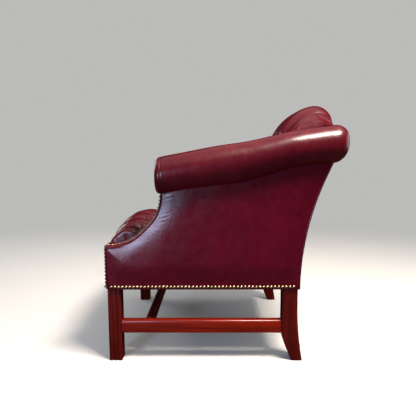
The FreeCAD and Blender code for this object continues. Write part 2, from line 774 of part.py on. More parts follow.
def back_form(half_width, inset, bottom, rear):
    wires = [back_section(share * half_width, inset, bottom, rear) for share in SECTION_SHARES]
    return Part.makeLoft(wires, True, False)


def seat_height(x):
    return SEAT_HEIGHT - SEAT_CROWN * (x / ARM_INNER) ** 2


def seat_points(x, bottom):
    """Corners of the seat's side outline at X, from the front edge over the top to the rear."""
    top = seat_height(x)
    rear = top - SEAT_FALL
    gap = SOFT_CLEARANCE / math.cos(RECLINE)
    return [
        (-SKIN, bottom),
        (-SKIN, top - SEAT_NOSE_DROP),
        (-SKIN + SEAT_NOSE_DEPTH, top),
        (back_line_y(rear) - gap, rear),
        (back_line_y(DECK_Z - OVERSHOOT) - gap, DECK_Z - OVERSHOOT),
    ]


SEAT_RADII = [0.0, NOSE_RADIUS, TOP_RADIUS, TUFT_LAYER + CORNER_EASE, 0.0]


def seat_form(half_width, inset, bottom, apron):
    """Crowned seat block; the apron runs down over the front rail."""
    wires = []
    for share in SECTION_SHARES:
        x = share * half_width
        path = rounded_path(seat_points(x, bottom), SEAT_RADII, -inset)
        closing = [(0, DECK_Z - OVERSHOOT), (0, bottom)] if apron else []
        wires.append(place_wire(close_through(path, closing), x))
    return Part.makeLoft(wires, True, False)


def tuft_rows(first, pitch, row, counts):
    """Staggered button places (across, along) row by row."""
    rows = []
    for i, count in enumerate(counts):
        rows.append([((j - (count - 1) / 2) * pitch, first + i * row) for j in range(count)])
    return rows


SEAT_COUNTS = [5, 4, 5, 4, 5]
BACK_COUNTS = [4, 3, 4, 3]


def seat_tufts():
    """Rows of (surface point, outward direction) for the seat's buttons."""
    rows = tuft_rows(SEAT_TUFT_FIRST, SEAT_TUFT_PITCH, SEAT_TUFT_ROW, SEAT_COUNTS)
    placed = []
    for row in rows:
        spots = []
        for x, y in row:
            top = seat_height(x)
            front = -SKIN + SEAT_NOSE_DEPTH
            rear = back_line_y(top - SEAT_FALL)
            z = top - SEAT_FALL * max(0.0, y - front) / (rear - front)
            spots.append((Vector(x, y, z), Vector(0, 0, 1)))
        placed.append(spots)
    return placed


def back_tufts():
    """Rows of (surface point, outward direction) for the back's buttons, from the seat up."""
    rows = tuft_rows(BACK_TUFT_FIRST, BACK_TUFT_PITCH, BACK_TUFT_ROW, BACK_COUNTS)
    normal = Vector(0, -math.cos(RECLINE), math.sin(RECLINE))
    placed = []
    for row in rows:
        spots = []
        for x, z in row:
            spots.append((Vector(x, back_surface_y(x, z), z), normal))
        placed.append(spots)
    return placed


def back_surface_y(x, z):
    """Y of the inside back's surface at a height, on its straight front or on the shoulder above it."""
    wire = back_section(x, 0.0, BACK_BOTTOM, 0.0)
    level = line(Vector(x, 0, z), Vector(x, ROLL_REAR, z))
    distance, places, info = level.distToShape(wire.Edges[0])
    if distance > FIT_CLEARANCE:
        places = level.distToShape(wire.Edges[1])[1]
    return places[0][0].y


def tuft_cutters(rows, pitch):
    """Hollow around each button and pleats from it to its neighbours in the next row."""
    cutters = []
    height = TUFT_DEPTH + OVERSHOOT
    narrow = BUTTON_RADIUS + TUFT_EASE
    wide = narrow + height * math.tan(math.radians(TUFT_ANGLE))
    for row in rows:
        for point, out in row:
            seat = point - out * TUFT_DEPTH
            cutters.append(Part.makeCone(narrow, wide, height, seat, out))
    for lower, upper in zip(rows, rows[1:]):
        for point, out in lower:
            for other, other_out in upper:
                if abs(point.x - other.x) < pitch:
                    cutters.append(pleat(point, other, out))
    return cutters


def pleat(a, b, out):
    """Straight V groove between two surface points."""
    way = b - a
    side = way.cross(out).normalize() * (PLEAT_HALF_WIDTH * (1 + OVERSHOOT / PLEAT_DEPTH))
    deep = a - out * PLEAT_DEPTH
    high = a + out * OVERSHOOT
    face = Part.Face(Part.makePolygon([deep, high + side, high - side, deep]))
    return face.extrude(way)


def pleat_along(edges, x):
    """V groove along a side-plane path at X, seen as walked with the cushion on its right."""
    start = edges[0].valueAt(edges[0].FirstParameter)
    way = edges[0].tangentAt(edges[0].FirstParameter)
    out = Vector(0, -way.z, way.y)
    half = PLEAT_HALF_WIDTH * (1 + PLEAT_LIFT / PLEAT_DEPTH)
    across = Vector(half, 0, 0)
    deep = start - out * PLEAT_DEPTH
    high = start + out * PLEAT_LIFT
    groove = Part.makePolygon([deep, high + across, high - across, deep])
    cutter = Part.Wire(edges).makePipeShell([groove], True, True)
    cutter.translate(Vector(x, 0, 0))
    return cutter


def crest_pleats():
    """Folds from the top row of back buttons over the crest."""
    cutters = []
    for point, out in back_tufts()[-1]:
        section = back_section(point.x, 0.0, BACK_BOTTOM, 0.0)
        section.translate(Vector(-point.x, 0, 0))
        cutters.append(pleat_along(section.Edges[1:3], point.x))
    return cutters


def nose_pleats():
    """Folds from the front row of seat buttons down over the front edge."""
    cutters = []
    for point, out in seat_tufts()[0]:
        path = rounded_path(seat_points(point.x, RAIL_BOTTOM + PLEAT_STOP), SEAT_RADII)
        cutters.append(pleat_along(path[:4], point.x))
    return cutters


def buttons(rows):
    """Domed leather buttons seated in the tufts."""
    made = []
    dome = dome_middle(BUTTON_RADIUS, BUTTON_HEIGHT - BUTTON_RIM, BUTTON_RIM)
    for row in rows:
        for point, out in row:
            seat = point - out * TUFT_DEPTH
            profile = [
                line(Vector(0, 0, 0), Vector(BUTTON_RADIUS, 0, 0)),
                line(Vector(BUTTON_RADIUS, 0, 0), Vector(BUTTON_RADIUS, 0, BUTTON_RIM)),
                arc(Vector(BUTTON_RADIUS, 0, BUTTON_RIM), dome, Vector(0, 0, BUTTON_HEIGHT)),
                line(Vector(0, 0, BUTTON_HEIGHT), Vector(0, 0, 0)),
            ]
            solid = Part.Face(Part.Wire(profile)).revolve(Vector(0, 0, 0), Vector(0, 0, 1), 360)
            solid.Placement = FreeCAD.Placement(seat, FreeCAD.Rotation(Vector(0, 0, 1), out))
            made.append(solid)
    return made


def seat_parts():
    inner_half = SIDE_GAP_X - TUFT_LAYER
    outer = seat_form(SIDE_GAP_X, 0.0, RAIL_BOTTOM, True)
    below = box(-BODY_WIDTH, BODY_WIDTH, 0, FRAME_DEPTH, RAIL_BOTTOM, DECK_Z)
    core = seat_form(inner_half, TUFT_LAYER, DECK_Z - OVERSHOOT, False)
    cover = outer.cut([below] + tuft_cutters(seat_tufts(), SEAT_TUFT_PITCH) + nose_pleats()).cut(core)
    return one_solid(cover), one_solid(core.cut(below))


def back_parts(frame):
    """Tufted cover and core of the back; the cover runs out over the arm rolls at the corners."""
    inner_half = SIDE_GAP_X - TUFT_LAYER
    outer = back_form(CREST_END_X, 0.0, BACK_BOTTOM, 0.0)
    cutter = back_form(inner_half, TUFT_LAYER, BACK_BOTTOM - OVERSHOOT, OVERSHOOT)
    core = back_form(inner_half, TUFT_LAYER, BACK_BOTTOM, 0.0)
    beside = [under_roll(SIDE_GAP_X, BODY_WIDTH, ROLL_REAR), roll_solid(ROLL_RADIUS + SOFT_CLEARANCE)] + frame
    beside += [mirrored(solid) for solid in beside]
    cover = outer.cut(tuft_cutters(back_tufts(), BACK_TUFT_PITCH) + crest_pleats())
    cover = cover.cut([cutter, crest_rail()]).cut(beside)
    return one_solid(cover), one_solid(core.cut(crest_rail()))


# Arms

def roll_solid(radius):
    """Arm roll: a round bar along its rising axis with a rounded end at the rear corner."""
    axis = roll_axis(ROLL_REAR + ROLL_OVERRUN) - roll_axis(0)
    length = axis.Length
    cap = ROLL_CAP + radius - ROLL_RADIUS
    flat = radius - cap
    slant = cap * math.sqrt(0.5)
    top = Vector(0, 0, length + cap)
    profile = [
        line(Vector(0, 0, 0), Vector(radius, 0, 0)),
        line(Vector(radius, 0, 0), Vector(radius, 0, length)),
        arc(Vector(radius, 0, length), Vector(flat + slant, 0, length + slant), Vector(flat, 0, length + cap)),
        line(Vector(flat, 0, length + cap), top),
        line(top, Vector(0, 0, 0)),
    ]
    solid = Part.Face(Part.Wire(profile)).revolve(Vector(0, 0, 0), Vector(0, 0, 1), 360)
    solid.Placement = FreeCAD.Placement(roll_axis(0), FreeCAD.Rotation(Vector(0, 0, 1), axis))
    return solid


def under_roll(x0, x1, y1):
    """Space below the roll's axis between two X positions, as far back as y1."""
    y0 = -BODY_WIDTH
    points = [(y0, 0), (y1, 0), (y1, roll_height(y1)), (y0, roll_height(y0))]
    return slab(outline(points), x0, x1)


def inside_arm(x0, x1, inset):
    """Flat layer inside the arm, from the deck up to the roll's axis and back to the posts."""
    path = facing_path(inset, DECK_Z)
    far = (ROLL_REAR, DECK_Z), (ROLL_REAR, ROLL_REAR_HEIGHT + ROLL_RADIUS)
    plate = slab(close_through(path, far), x0, x1)
    plate = plate.common(under_roll(0, BODY_WIDTH, ROLL_REAR))
    return plate.cut(behind_posts(WEB_THICKNESS))


def arm_parts(frame):
    """Leather and padding of one arm: inside arm and roll in one piece each."""
    board_rear = ROLL_FRONT + SKIN + SCROLL_BOARD_THICKNESS
    roll = roll_solid(ROLL_RADIUS)
    core = roll_solid(ROLL_RADIUS - LEATHER)
    ahead_of_board = box(0, BODY_WIDTH, -BODY_WIDTH, board_rear, 0, 2 * BODY_WIDTH)
    open_under = under_roll(ARM_INNER + LEATHER, HALF_BODY - LEATHER, REAR_MOST)
    panel = inside_arm(ARM_INNER, ARM_INNER + LEATHER, LEATHER)
    lining = inside_arm(ARM_INNER + LEATHER, ARM_WOOD_INNER, SKIN)
    shell = roll.cut([core, open_under, facing_front(LEATHER)])
    cover = shell.fuse(panel).cut(core).cut(frame)
    pad = core.cut([ahead_of_board, facing_front(SKIN)]).fuse(lining).cut(frame)
    return one_solid(cover), one_solid(pad)


def keyhole(radius, x0, x1):
    """Front view of the arm end, run along Y: a disc over an upright strip."""
    disc = scroll_disc(radius, -BODY_WIDTH, ROLL_REAR)
    strip = box(x0, x1, -BODY_WIDTH, ROLL_REAR, RAIL_BOTTOM, ROLL_FRONT_HEIGHT)
    return disc.fuse(strip)


def facing_solid(inset0, inset1, bottom):
    """Layer that follows the arm front between two depths below its surface."""
    outer = facing_path(inset0, bottom)
    inner = facing_path(inset1, bottom)
    a0, b0 = path_ends(outer)
    a1, b1 = path_ends(inner)
    wire = Part.Wire(outer + [line(b0, b1)] + downward(inner) + [line(a1, a0)])
    return Part.Face(wire).extrude(Vector(BODY_WIDTH, 0, 0))


def arm_facing():
    return one_solid(facing_solid(0, LEATHER, RAIL_BOTTOM).common(keyhole(ROLL_RADIUS, ARM_INNER, HALF_BODY)))


def facing_batting():
    hole = keyhole(BOARD_RADIUS, ARM_INNER + LEATHER, HALF_BODY - LEATHER)
    return one_solid(facing_solid(LEATHER, SKIN, RAIL_BOTTOM).common(hole))


def outside_arm(x0, x1, inset, rear_radius):
    """Flat layer outside the arm, below the roll."""
    path = facing_path(inset, RAIL_BOTTOM)
    top = ROLL_REAR_HEIGHT
    first, last = path_ends(path)
    edges = path + [line(last, side_point(sweep_y(rear_radius, RAIL_BOTTOM), RAIL_BOTTOM))]
    edges += sweep_path(rear_radius, RAIL_BOTTOM, top)
    edges.append(line(side_point(sweep_y(rear_radius, top), top), first))
    plate = slab(edges, x0, x1).common(under_roll(0, BODY_WIDTH, REAR_MOST))
    disc = scroll_disc(ROLL_RADIUS + SOFT_CLEARANCE, 0, ROLL_FRONT + OVERSHOOT)
    return one_solid(plate.cut([roll_solid(ROLL_RADIUS + SOFT_CLEARANCE), disc]))


def outside_back(radius0, radius1, half_width):
    """Layer of the outside back between two radii of the back's sweep, under the rolls."""
    sheet = sweep_layer(radius0, radius1, RAIL_BOTTOM, ROLL_REAR_HEIGHT + CREST_RISE, -half_width, half_width)
    roll = roll_solid(ROLL_RADIUS + SOFT_CLEARANCE)
    form = back_form(CREST_END_X + SOFT_CLEARANCE, -SOFT_CLEARANCE, BACK_BOTTOM, 0.0)
    xs = spaced(-half_width, half_width, half_width / CREST_STEPS)
    far = 2 * BODY_WIDTH
    points = [Vector(x, 0, crest_centre(x)[1] - CREST_TUCK) for x in xs]
    points += [Vector(half_width, 0, far), Vector(-half_width, 0, far)]
    above = Part.Face(Part.makePolygon(points + points[:1])).extrude(Vector(0, far, 0))
    return one_solid(sheet.cut([roll, mirrored(roll), form, above]))


def welt():
    """Cord along the rear edge of the outside arm."""
    edges = sweep_path(BACK_SWEEP + WELT_RADIUS, RAIL_BOTTOM, ROLL_REAR_HEIGHT)
    path = Part.Wire(edges)
    path.translate(Vector(HALF_BODY - WELT_RADIUS, 0, 0))
    start = path.OrderedVertexes[0].Point
    ring = Part.Wire(Part.makeCircle(WELT_RADIUS, start, Vector(0, 0, 1)))
    cord = path.makePipeShell([ring], True, False)
    cord = cord.common(under_roll(0, BODY_WIDTH, REAR_MOST))
    return one_solid(cord.cut(roll_solid(ROLL_RADIUS + SOFT_CLEARANCE)))


# Nails

def nail_profile():
    """Domed head over a round shank, its seat on the plane Z zero."""
    edges = [
        arc(Vector(0, 0, NAIL_HEIGHT), dome_middle(NAIL_RADIUS, NAIL_HEIGHT, 0), Vector(NAIL_RADIUS, 0, 0)),
        line(Vector(NAIL_RADIUS, 0, 0), Vector(NAIL_SHANK_RADIUS, 0, 0)),
        line(Vector(NAIL_SHANK_RADIUS, 0, 0), Vector(NAIL_SHANK_RADIUS, 0, -NAIL_SHANK)),
        line(Vector(NAIL_SHANK_RADIUS, 0, -NAIL_SHANK), Vector(0, 0, -NAIL_SHANK)),
        line(Vector(0, 0, -NAIL_SHANK), Vector(0, 0, NAIL_HEIGHT)),
    ]
    return Part.Face(Part.Wire(edges)).revolve(Vector(0, 0, 0), Vector(0, 0, 1), 360)


def place_nails(spots):
    """Nail solids at (point, outward direction) spots."""
    nail = nail_profile()
    made = []
    for point, out in spots:
        solid = nail.copy()
        seat = point + out * NAIL_LIFT
        solid.Placement = FreeCAD.Placement(seat, FreeCAD.Rotation(Vector(0, 0, 1), out))
        made.append(solid)
    return made


def nail_holes(spots):
    radius = NAIL_SHANK_RADIUS + FIT_CLEARANCE
    reach = NAIL_SHANK + FIT_CLEARANCE
    return [peg(radius, point - out * reach, point + out) for point, out in spots]


def drilled(shape, holes):
    """Solid with its holes cut one by one."""
    for hole in holes:
        shape = shape.cut(hole)
    return one_solid(shape)


def side_nail_spots():
    z = RAIL_BOTTOM + NAIL_EDGE
    ys = spaced(-SKIN + NAIL_CORNER, FRAME_DEPTH + SKIN - NAIL_CORNER, NAIL_PITCH)
    return [(Vector(HALF_BODY, y, z), Vector(1, 0, 0)) for y in ys]


def front_nail_spots():
    z = RAIL_BOTTOM + NAIL_EDGE
    half = HALF_FRAME - NAIL_WOOD_EDGE
    return [(Vector(x, -SKIN, z), Vector(0, -1, 0)) for x in spaced(-half, half, NAIL_PITCH)]


def back_nail_spots():
    z = RAIL_BOTTOM + NAIL_EDGE
    half = HALF_BODY - NAIL_CORNER
    y = sweep_y(BACK_SWEEP, z)
    return [(Vector(x, y, z), Vector(0, 1, 0)) for x in spaced(-half, half, NAIL_PITCH)]


def row_spots(x, top, bottom):
    """Nail places down the arm front at one X, between two heights on its path."""
    path = Part.Wire(facing_path(0, bottom))
    skip = facing_points(bottom)[0][1] - top
    count = max(1, round((path.Length - skip) / NAIL_PITCH))
    points = path.discretize(Number=4 * count + 1)
    spots = []
    for i in range(count):
        target = skip + (path.Length - skip) * i / count
        share = target / path.Length * (len(points) - 1)
        low = min(int(share), len(points) - 2)
        span = points[low + 1] - points[low]
        place = points[low] + span * (share - low)
        way = span.normalize()
        spots.append((Vector(x, place.y, place.z), Vector(0, way.z, -way.y)))
    return spots


def facing_nail_spots():
    """One row down the outer edge of the arm front, from under the scroll."""
    x = HALF_FRAME - FACING_NAIL_INSET
    top = ROLL_FRONT_HEIGHT - ROLL_RADIUS - NAIL_EDGE
    return row_spots(x, top, RAIL_BOTTOM + NAIL_EDGE)


def dust_cover():
    """Thin cloth under the seat frame, notched around the legs."""
    x = HALF_FRAME - DUST_COVER_INSET
    rear_edge = FRAME_DEPTH - DUST_COVER_INSET
    sheet = box(-x, x, DUST_COVER_INSET, rear_edge, RAIL_BOTTOM - DUST_COVER, RAIL_BOTTOM)
    notch = LEG_WIDTH + SOFT_CLEARANCE
    rear = REAR_LEG_DEPTH + SOFT_CLEARANCE
    cuts = []
    for x0, x1 in ((LEG_INNER - SOFT_CLEARANCE, BODY_WIDTH), (-BODY_WIDTH, -LEG_INNER + SOFT_CLEARANCE)):
        cuts.append(box(x0, x1, 0, notch, 0, RAIL_TOP))
        cuts.append(box(x0, x1, FRAME_DEPTH - rear, FRAME_DEPTH, 0, RAIL_TOP))
    return sheet.cut(cuts)


# Assembly

def build():
    side_spots = side_nail_spots()
    facing_spots = facing_nail_spots()
    front_spots = front_nail_spots()
    back_spots = back_nail_spots()
    facing_holes = nail_holes(facing_spots)
    side_holes = nail_holes(side_spots)
    front_holes = nail_holes(front_spots)
    back_holes = nail_holes(back_spots)
    dowels = rail_dowels(0)
    pegs = rail_dowels(FIT_CLEARANCE)
    front_block = corner_block(True)
    rear_block = corner_block(False)
    front_screws = block_screws(True)
    rear_screws = block_screws(False)
    screws = [pair[0] for pair in front_screws + rear_screws]
    bores = [pair[1] for pair in front_screws + rear_screws]

    post = arm_post()
    leg = rear_leg()
    front = front_leg()
    rail = arm_rail()
    board = scroll_board()
    tack = arm_tack_rail()
    crest = crest_rail()
    plain_side_rail = side_rail()

    front_drills = pegs + bores + facing_holes + side_holes + front_holes
    export_pair("front_leg", front.cut(side_tenons(FIT_CLEARANCE) + front_drills))
    export_pair("rear_leg", leg.cut(side_tenons(FIT_CLEARANCE) + pegs + bores + side_holes + back_holes))
    export_pair("side_stretcher", side_stretcher().cut(cross_tenon(FIT_CLEARANCE)))
    export("cross_stretcher", cross_stretcher())
    both_pegs = pegs + [mirrored(hole) for hole in pegs]
    both_facing = facing_holes + [mirrored(hole) for hole in facing_holes]
    export("front_seat_rail", front_rail().cut(both_pegs + both_facing + front_holes))
    export("rear_seat_rail", rear_rail().cut(both_pegs + back_holes))
    export_pair("side_seat_rail", plain_side_rail.cut(pegs + side_holes))
    blocks = [front_block.cut(bores), rear_block.cut(bores)]
    export("corner_blocks", Part.makeCompound(blocks + [mirrored(block) for block in blocks]))
    export("corner_block_screws", Part.makeCompound(screws + [mirrored(screw) for screw in screws]))
    export("frame_dowels", Part.makeCompound(dowels + [mirrored(solid) for solid in dowels]))
    export_pair("arm_post", drilled(post, pegs + facing_holes))
    export_pair("arm_rail", rail)
    export_pair("arm_tack_rail", tack)
    export_pair("scroll_board", one_solid(board.cut(facing_holes)))
    export("crest_rail", crest)
    export("lower_back_rail", lower_back_rail())

    springs = [at_x(spring(), x) for x in spring_xs()]
    clip_ys = (RAIL_THICKNESS / 2, FRAME_DEPTH - RAIL_THICKNESS / 2)
    clips = [at_x(spring_clip(y), x) for y in clip_ys for x in spring_xs()]
    export("seat_springs", Part.makeCompound(springs))
    export("spring_clips", Part.makeCompound(clips))
    export("seat_burlap", burlap())
    export("back_webbing", Part.makeCompound(back_webbing()))

    seat_cover, seat_pad = seat_parts()
    back_cover, back_pad = back_parts([leg, rail])
    export("seat_cover", seat_cover.cut(front_holes + both_facing))
    export("seat_pad", seat_pad)
    export("back_cover", back_cover)
    export("back_pad", back_pad)
    export("seat_buttons", Part.makeCompound(buttons(seat_tufts())))
    export("back_buttons", Part.makeCompound(buttons(back_tufts())))

    facing = arm_facing()
    facing_layer = facing_batting()
    arm_cover, arm_pad = arm_parts([post, leg, rail, board, tack, crest, facing, facing_layer])
    export_pair("arm_cover", arm_cover)
    export_pair("arm_pad", arm_pad)
    export_pair("arm_facing", facing.cut(facing_holes + front_holes))
    export_pair("facing_batting", facing_layer.cut(facing_holes + front_holes))
    outside_panel = outside_arm(HALF_BODY - LEATHER, HALF_BODY, LEATHER, BACK_SWEEP + 2 * WELT_RADIUS)
    side_pad = outside_arm(HALF_FRAME, HALF_BODY - LEATHER, SKIN, BACK_SWEEP + 2 * WELT_RADIUS)
    export_pair("outside_arm", outside_panel.cut(side_holes))
    export_pair("side_batting", side_pad.cut(side_holes))
    back_half = HALF_BODY - 2 * WELT_RADIUS
    back_panel = outside_back(BACK_SWEEP, BACK_SWEEP + LEATHER, back_half)
    back_layer = outside_back(BACK_SWEEP + LEATHER, BACK_SWEEP + SKIN, HALF_FRAME)
    export("outside_back", back_panel.cut(back_holes))
    export("back_batting", back_layer.cut(back_holes))
    export_pair("back_welt", welt())

    export_pair("side_nails", Part.makeCompound(place_nails(side_spots)))
    export("front_nails", Part.makeCompound(place_nails(front_spots)))
    export("back_nails", Part.makeCompound(place_nails(back_spots)))
    export_pair("facing_nails", Part.makeCompound(place_nails(facing_spots)))
    export("dust_cover", dust_cover())


build()
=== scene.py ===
"""Leather club chair: the looks of its visible pieces, the light and the camera."""
import math

import bmesh
import bpy
import numpy as np
from mathutils import Matrix, Vector


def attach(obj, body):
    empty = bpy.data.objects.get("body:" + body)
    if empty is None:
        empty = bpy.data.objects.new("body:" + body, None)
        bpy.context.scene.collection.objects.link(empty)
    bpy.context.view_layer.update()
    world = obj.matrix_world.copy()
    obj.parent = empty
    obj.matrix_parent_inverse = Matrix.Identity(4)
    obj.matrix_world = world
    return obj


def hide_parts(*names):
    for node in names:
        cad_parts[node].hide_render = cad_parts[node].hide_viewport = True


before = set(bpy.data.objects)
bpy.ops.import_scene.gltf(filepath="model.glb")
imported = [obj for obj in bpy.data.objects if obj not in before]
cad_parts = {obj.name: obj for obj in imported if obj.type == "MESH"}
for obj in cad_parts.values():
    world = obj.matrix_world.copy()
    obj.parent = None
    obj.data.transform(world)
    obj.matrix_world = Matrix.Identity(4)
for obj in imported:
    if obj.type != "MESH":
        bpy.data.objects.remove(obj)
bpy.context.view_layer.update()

# Sizes in millimetres, as in the part's source. Y runs back from the front face of the front legs.
MM = 0.001
Y_SHIFT = -402.745
HALF_BODY = 340.0
HALF_FRAME = 335.0
ARM_INNER = 268.0
SKIN = 5.0
RAIL_BOTTOM = 252.0
RAIL_TOP = 352.0
FRAME_DEPTH = 643.0
LEG_WIDTH = 45.0
LEG_INNER = HALF_FRAME - LEG_WIDTH
REED_COUNT = 3
REED_DEPTH = 2.6
REED_FULLNESS = 0.8
REAR_LEG_DEPTH = 51.0
TOE_KICK = 19.0
TOE_DEPTH = 37.0
TOE_CURVE = 1.35
SWEEP_START = 200.0
STRETCHER_BOTTOM = 97.0
STRETCHER_TOP = 142.0
STRETCHER_THICKNESS = 23.0
STRETCHER_ROUNDING = 9.0
STRETCHER_INSET = 5.0
CROSS_STRETCHER_SETBACK = 122.0
ARM_SETBACK = 184.0
CORNER_HEIGHT = 402.0
SWOOP_CUT = 110.0
SWOOP_RADIUS = 145.0
FACING_ROUNDING = 8.0
ROLL_RADIUS = 61.0
ROLL_X = ARM_INNER + ROLL_RADIUS
ROLL_FRONT = 175.0
ROLL_FRONT_HEIGHT = 633.0
ROLL_REAR = 725.0
ROLL_OVERRUN = 26.0
ROLL_CAP = 43.0
ROLL_TAN = math.tan(math.radians(10.3))
ROLL_REAR_HEIGHT = ROLL_FRONT_HEIGHT + (ROLL_REAR - ROLL_FRONT) * ROLL_TAN
SCROLL_FLAT = 30.0
BACK_SWEEP = 930.0
SWEEP_ANGLE = math.radians(24.4)
SWEEP_Y = FRAME_DEPTH + SKIN + BACK_SWEEP
POST_REAR = BACK_SWEEP + SKIN
POST_FRONT = POST_REAR + REAR_LEG_DEPTH
POST_TOP_GAP = 100.0
POST_TURN = ROLL_REAR_HEIGHT - POST_TOP_GAP
WELT_RADIUS = 2.3
BACK_FRONT = 526.0
RECLINE = math.radians(13.0)
BACK_DRAW_IN = 30.0
BACK_GAUGE_HEIGHT = 470.0
CREST_RISE = 103.0
RAKE = math.radians(16.0)
CREST_LEAD = math.radians(12.0)
CREST_TUCK_ANGLE = math.radians(150.0)
CREST_TUCK = 49.0
SEAT_HEIGHT = 474.0
SEAT_CROWN = 30.0
SEAT_FALL = 18.0
SEAT_NOSE_DROP = 47.0
SEAT_NOSE_DEPTH = 66.0
SEAT_RADII = (0.0, 60.0, 110.0, 31.0, 0.0)
SEAT_TUCK_HEIGHT = 420.0
SEAT_TUFT_PITCH = 104.0
SEAT_TUFT_ROW = 82.0
SEAT_TUFT_FIRST = 95.0
SEAT_COUNTS = (5, 4, 5, 4, 5)
BACK_TUFT_PITCH = 125.0
BACK_TUFT_ROW = 78.0
BACK_TUFT_FIRST = 536.0
BACK_COUNTS = (4, 3, 4, 3)
BUTTON_RADIUS = 11.0
BUTTON_HEIGHT = 6.0
DUST_COVER_INSET = 12.0
FACING_NAIL_INSET = 11.0
BUTTON_LIFT = 2.0
BUTTON_STEPS = 20
# Button from its top down to its underside, as shares of its radius and height
BUTTON_PROFILE = ((0.0, 1.0), (0.45, 0.93), (0.8, 0.66), (0.97, 0.25), (0.92, -0.3), (0.0, -0.4))
LEG_EASE = 1.2
REAR_LEG_EASE = 1.6
STRETCHER_EASE = 1.4
EASED_ANGLE = math.radians(50.0)
SHARP_ANGLE = math.radians(38.0)
STRETCHER_TURN = math.radians(13.0)
OUTLINE_STEP = 0.2

# Arm roll, with Y places along the arm
SCROLL_FACE = 172.0
SCROLL_EASE = 16.0
SCROLL_DISH = 2.0
SEAM_RUN = 8.0
SEAM_SETBACK = 3.0
SEAM_DEPTH = 0.9
ROLL_CROWN = 1.0
ROLL_DROOP = 6.0
ROLL_DROOP_RUN = (690.0, 790.0)
TWIST_WAVE = 90.0
RIPPLE_WAVE = 1.9
RIPPLE_SWAY = 3.0
RIPPLE_GROUP = 23.0

# Humps: height, place of the middle and reach, for ROLL_PUCKER_TURN round the roll in radians
SEAM = (1.0, SCROLL_FACE + SCROLL_EASE + SEAM_SETBACK, 2.2)
ROLL_SAG = (4.5, 470.0, 75.0)
ROLL_SWELL = (3.2, 622.0, 50.0)
ROLL_BELLY = (8.0, 430.0, 135.0)
ROLL_TWIST = (1.2, 420.0, 240.0)
ROLL_PUCKER = (1.0, 405.0, 6.0)
ROLL_PUCKER_TURN = (1.0, 1.0, 0.35)
RIPPLE = (0.10, 400.0, 90.0)
WRINKLE = (0.16, 16.0, 15.0)
SEAT_NOSE = (9.0, -62.0, 60.0)

# Inside arm and arm front
INSIDE_ARM_CLIMB = CORNER_HEIGHT + 1.0
INSIDE_ARM_TUCK = 20.0
INSIDE_ARM_FRONT_GAP = 3.0
INSIDE_ARM_REAR_TUCK = 12.0
INSIDE_ARM_LAP = 1.0
INSIDE_ARM_FULL = 4.0
INSIDE_ARM_FRONT_SHARE = 1.3
STRIP_TOP = 11.0
STRIP_CROWN = 2.5
STRIP_SINK = 1.5
STRIP_INNER_LAP = 0.5
STRIP_OUTER_LAP = 1.0
STRIP_CURL = 14.0
STRIP_CURL_LAP = 0.2

# Outside arm
WRAP_RADIUS = 12.0
WRAP_CORNER_RADIUS = 7.0
WRAP_CORNER_NEAR = 8.0
WRAP_CORNER_FAR = 45.0
WRAP_LAP = 2.0
SIDE_REAR_TOP = 672.0
SIDE_FRONT_LAP = 12.0
SIDE_TOP_LAP = 10.0
SIDE_CORNER_POWER = 8
PANEL_LIFT = 0.5
PANEL_FULL = 7.5
PANEL_FULL_REACH = 46.0
PANEL_FULL_LOW = 8.0
PANEL_FULL_HIGH = 90.0
PANEL_REAR_REACH = 60.0
PANEL_FALL = 2.5
PANEL_FALL_REACH = 26.0
PANEL_TUCK = 1.6
PANEL_TUCK_REACH = 7.0
PANEL_UNEVEN = 0.9
PANEL_UNEVEN_EDGE = 5.0
PANEL_UNEVEN_REACH = 60.0
WRINKLE_WAVE = 2.3
WRINKLE_SWAY = 2.0
WRINKLE_SWAY_WAVE = 21.0
WRINKLE_GROUP = 13.0
WRINKLE_RISE = (130.0, 170.0)

# Outside back, welts and dust cover
BACK_PANEL_FULL = 5.0
BACK_PANEL_LAP = 14.0
BACK_PANEL_ROLL_GAP = 30.0
WELT_TOP_GAP = 50.0
WELT_SINK = 1.0
WELT_INSET = 1.5
WELT_SKIN = 0.6
DUST_COVER_GAP = 1.2
DUST_COVER_SAG = 6.0

# Seat and back covers: s runs up the cover from the first row of buttons
SEAT_SIDE_GAP = 0.4
SEAT_EDGE_RADIUS = 12.0
SEAT_EDGE_DEPTH = 60.0
SEAT_TUCK = 14.0
SEAT_FOLD_START = -205.0
SEAT_APRON_LOW = -190.0
SEAT_APRON_HELD = -120.0
SEAT_APRON_HIGH = -95.0
SEAT_TURN_LOW = -170.0
SEAT_APRON_TURN = 0.22
SEAT_RELIEF = {"button_sink": 24.0, "pleat_sink": 11.0, "pleat_width": 15.0}
BACK_FOLD_START = -160.0
BACK_EDGE_DRAW = 10.0
BACK_EDGE_REACH = 9.0
BACK_EDGE_RUN = (-190.0, -120.0)
BACK_RELIEF = {"button_sink": 25.0, "pleat_sink": 15.0, "pleat_width": 17.0}
FOLD_END = 520.0
COVER_UNEVEN = 1.1
TUFT_REACH = 26.0
PIT_RADIUS = 19.0
FOLD_REACH = 4.5
FOLD_PIT_RADIUS = 15.0
PUCKER_COUNT = 11.0
PUCKER_RING = 24.0
PUCKER_REACH = 14.0
PUCKER_HEIGHT = 0.5
BUTTON_FOLD = 0.15

# Stuffing of the covers: leather as Blender cloth that grows a little under pressure
CLOTH = {"quality": 5, "mass": 0.15, "tension_stiffness": 15.0, "compression_stiffness": 15.0,
         "shear_stiffness": 5.0, "bending_stiffness": 2.0, "use_pressure": True,
         "uniform_pressure_force": 3.0, "shrink_min": -0.012}
HOLD_SHARE = 1.5
HELD_BORDER = 2
SWELL_FRAMES = 16
SWELL_MOST = 7.0

# Unevenness: how many waves, and their shortest and longest length
WOBBLE_WAVES = 6
WOBBLE_SHORT = 60.0
WOBBLE_LONG = 260.0

# Share of a straight that the arcs at its ends may take up, and small distances
ARC_SHARE = 0.98
TINY = 1e-9
SAME_PLACE = 1e-6

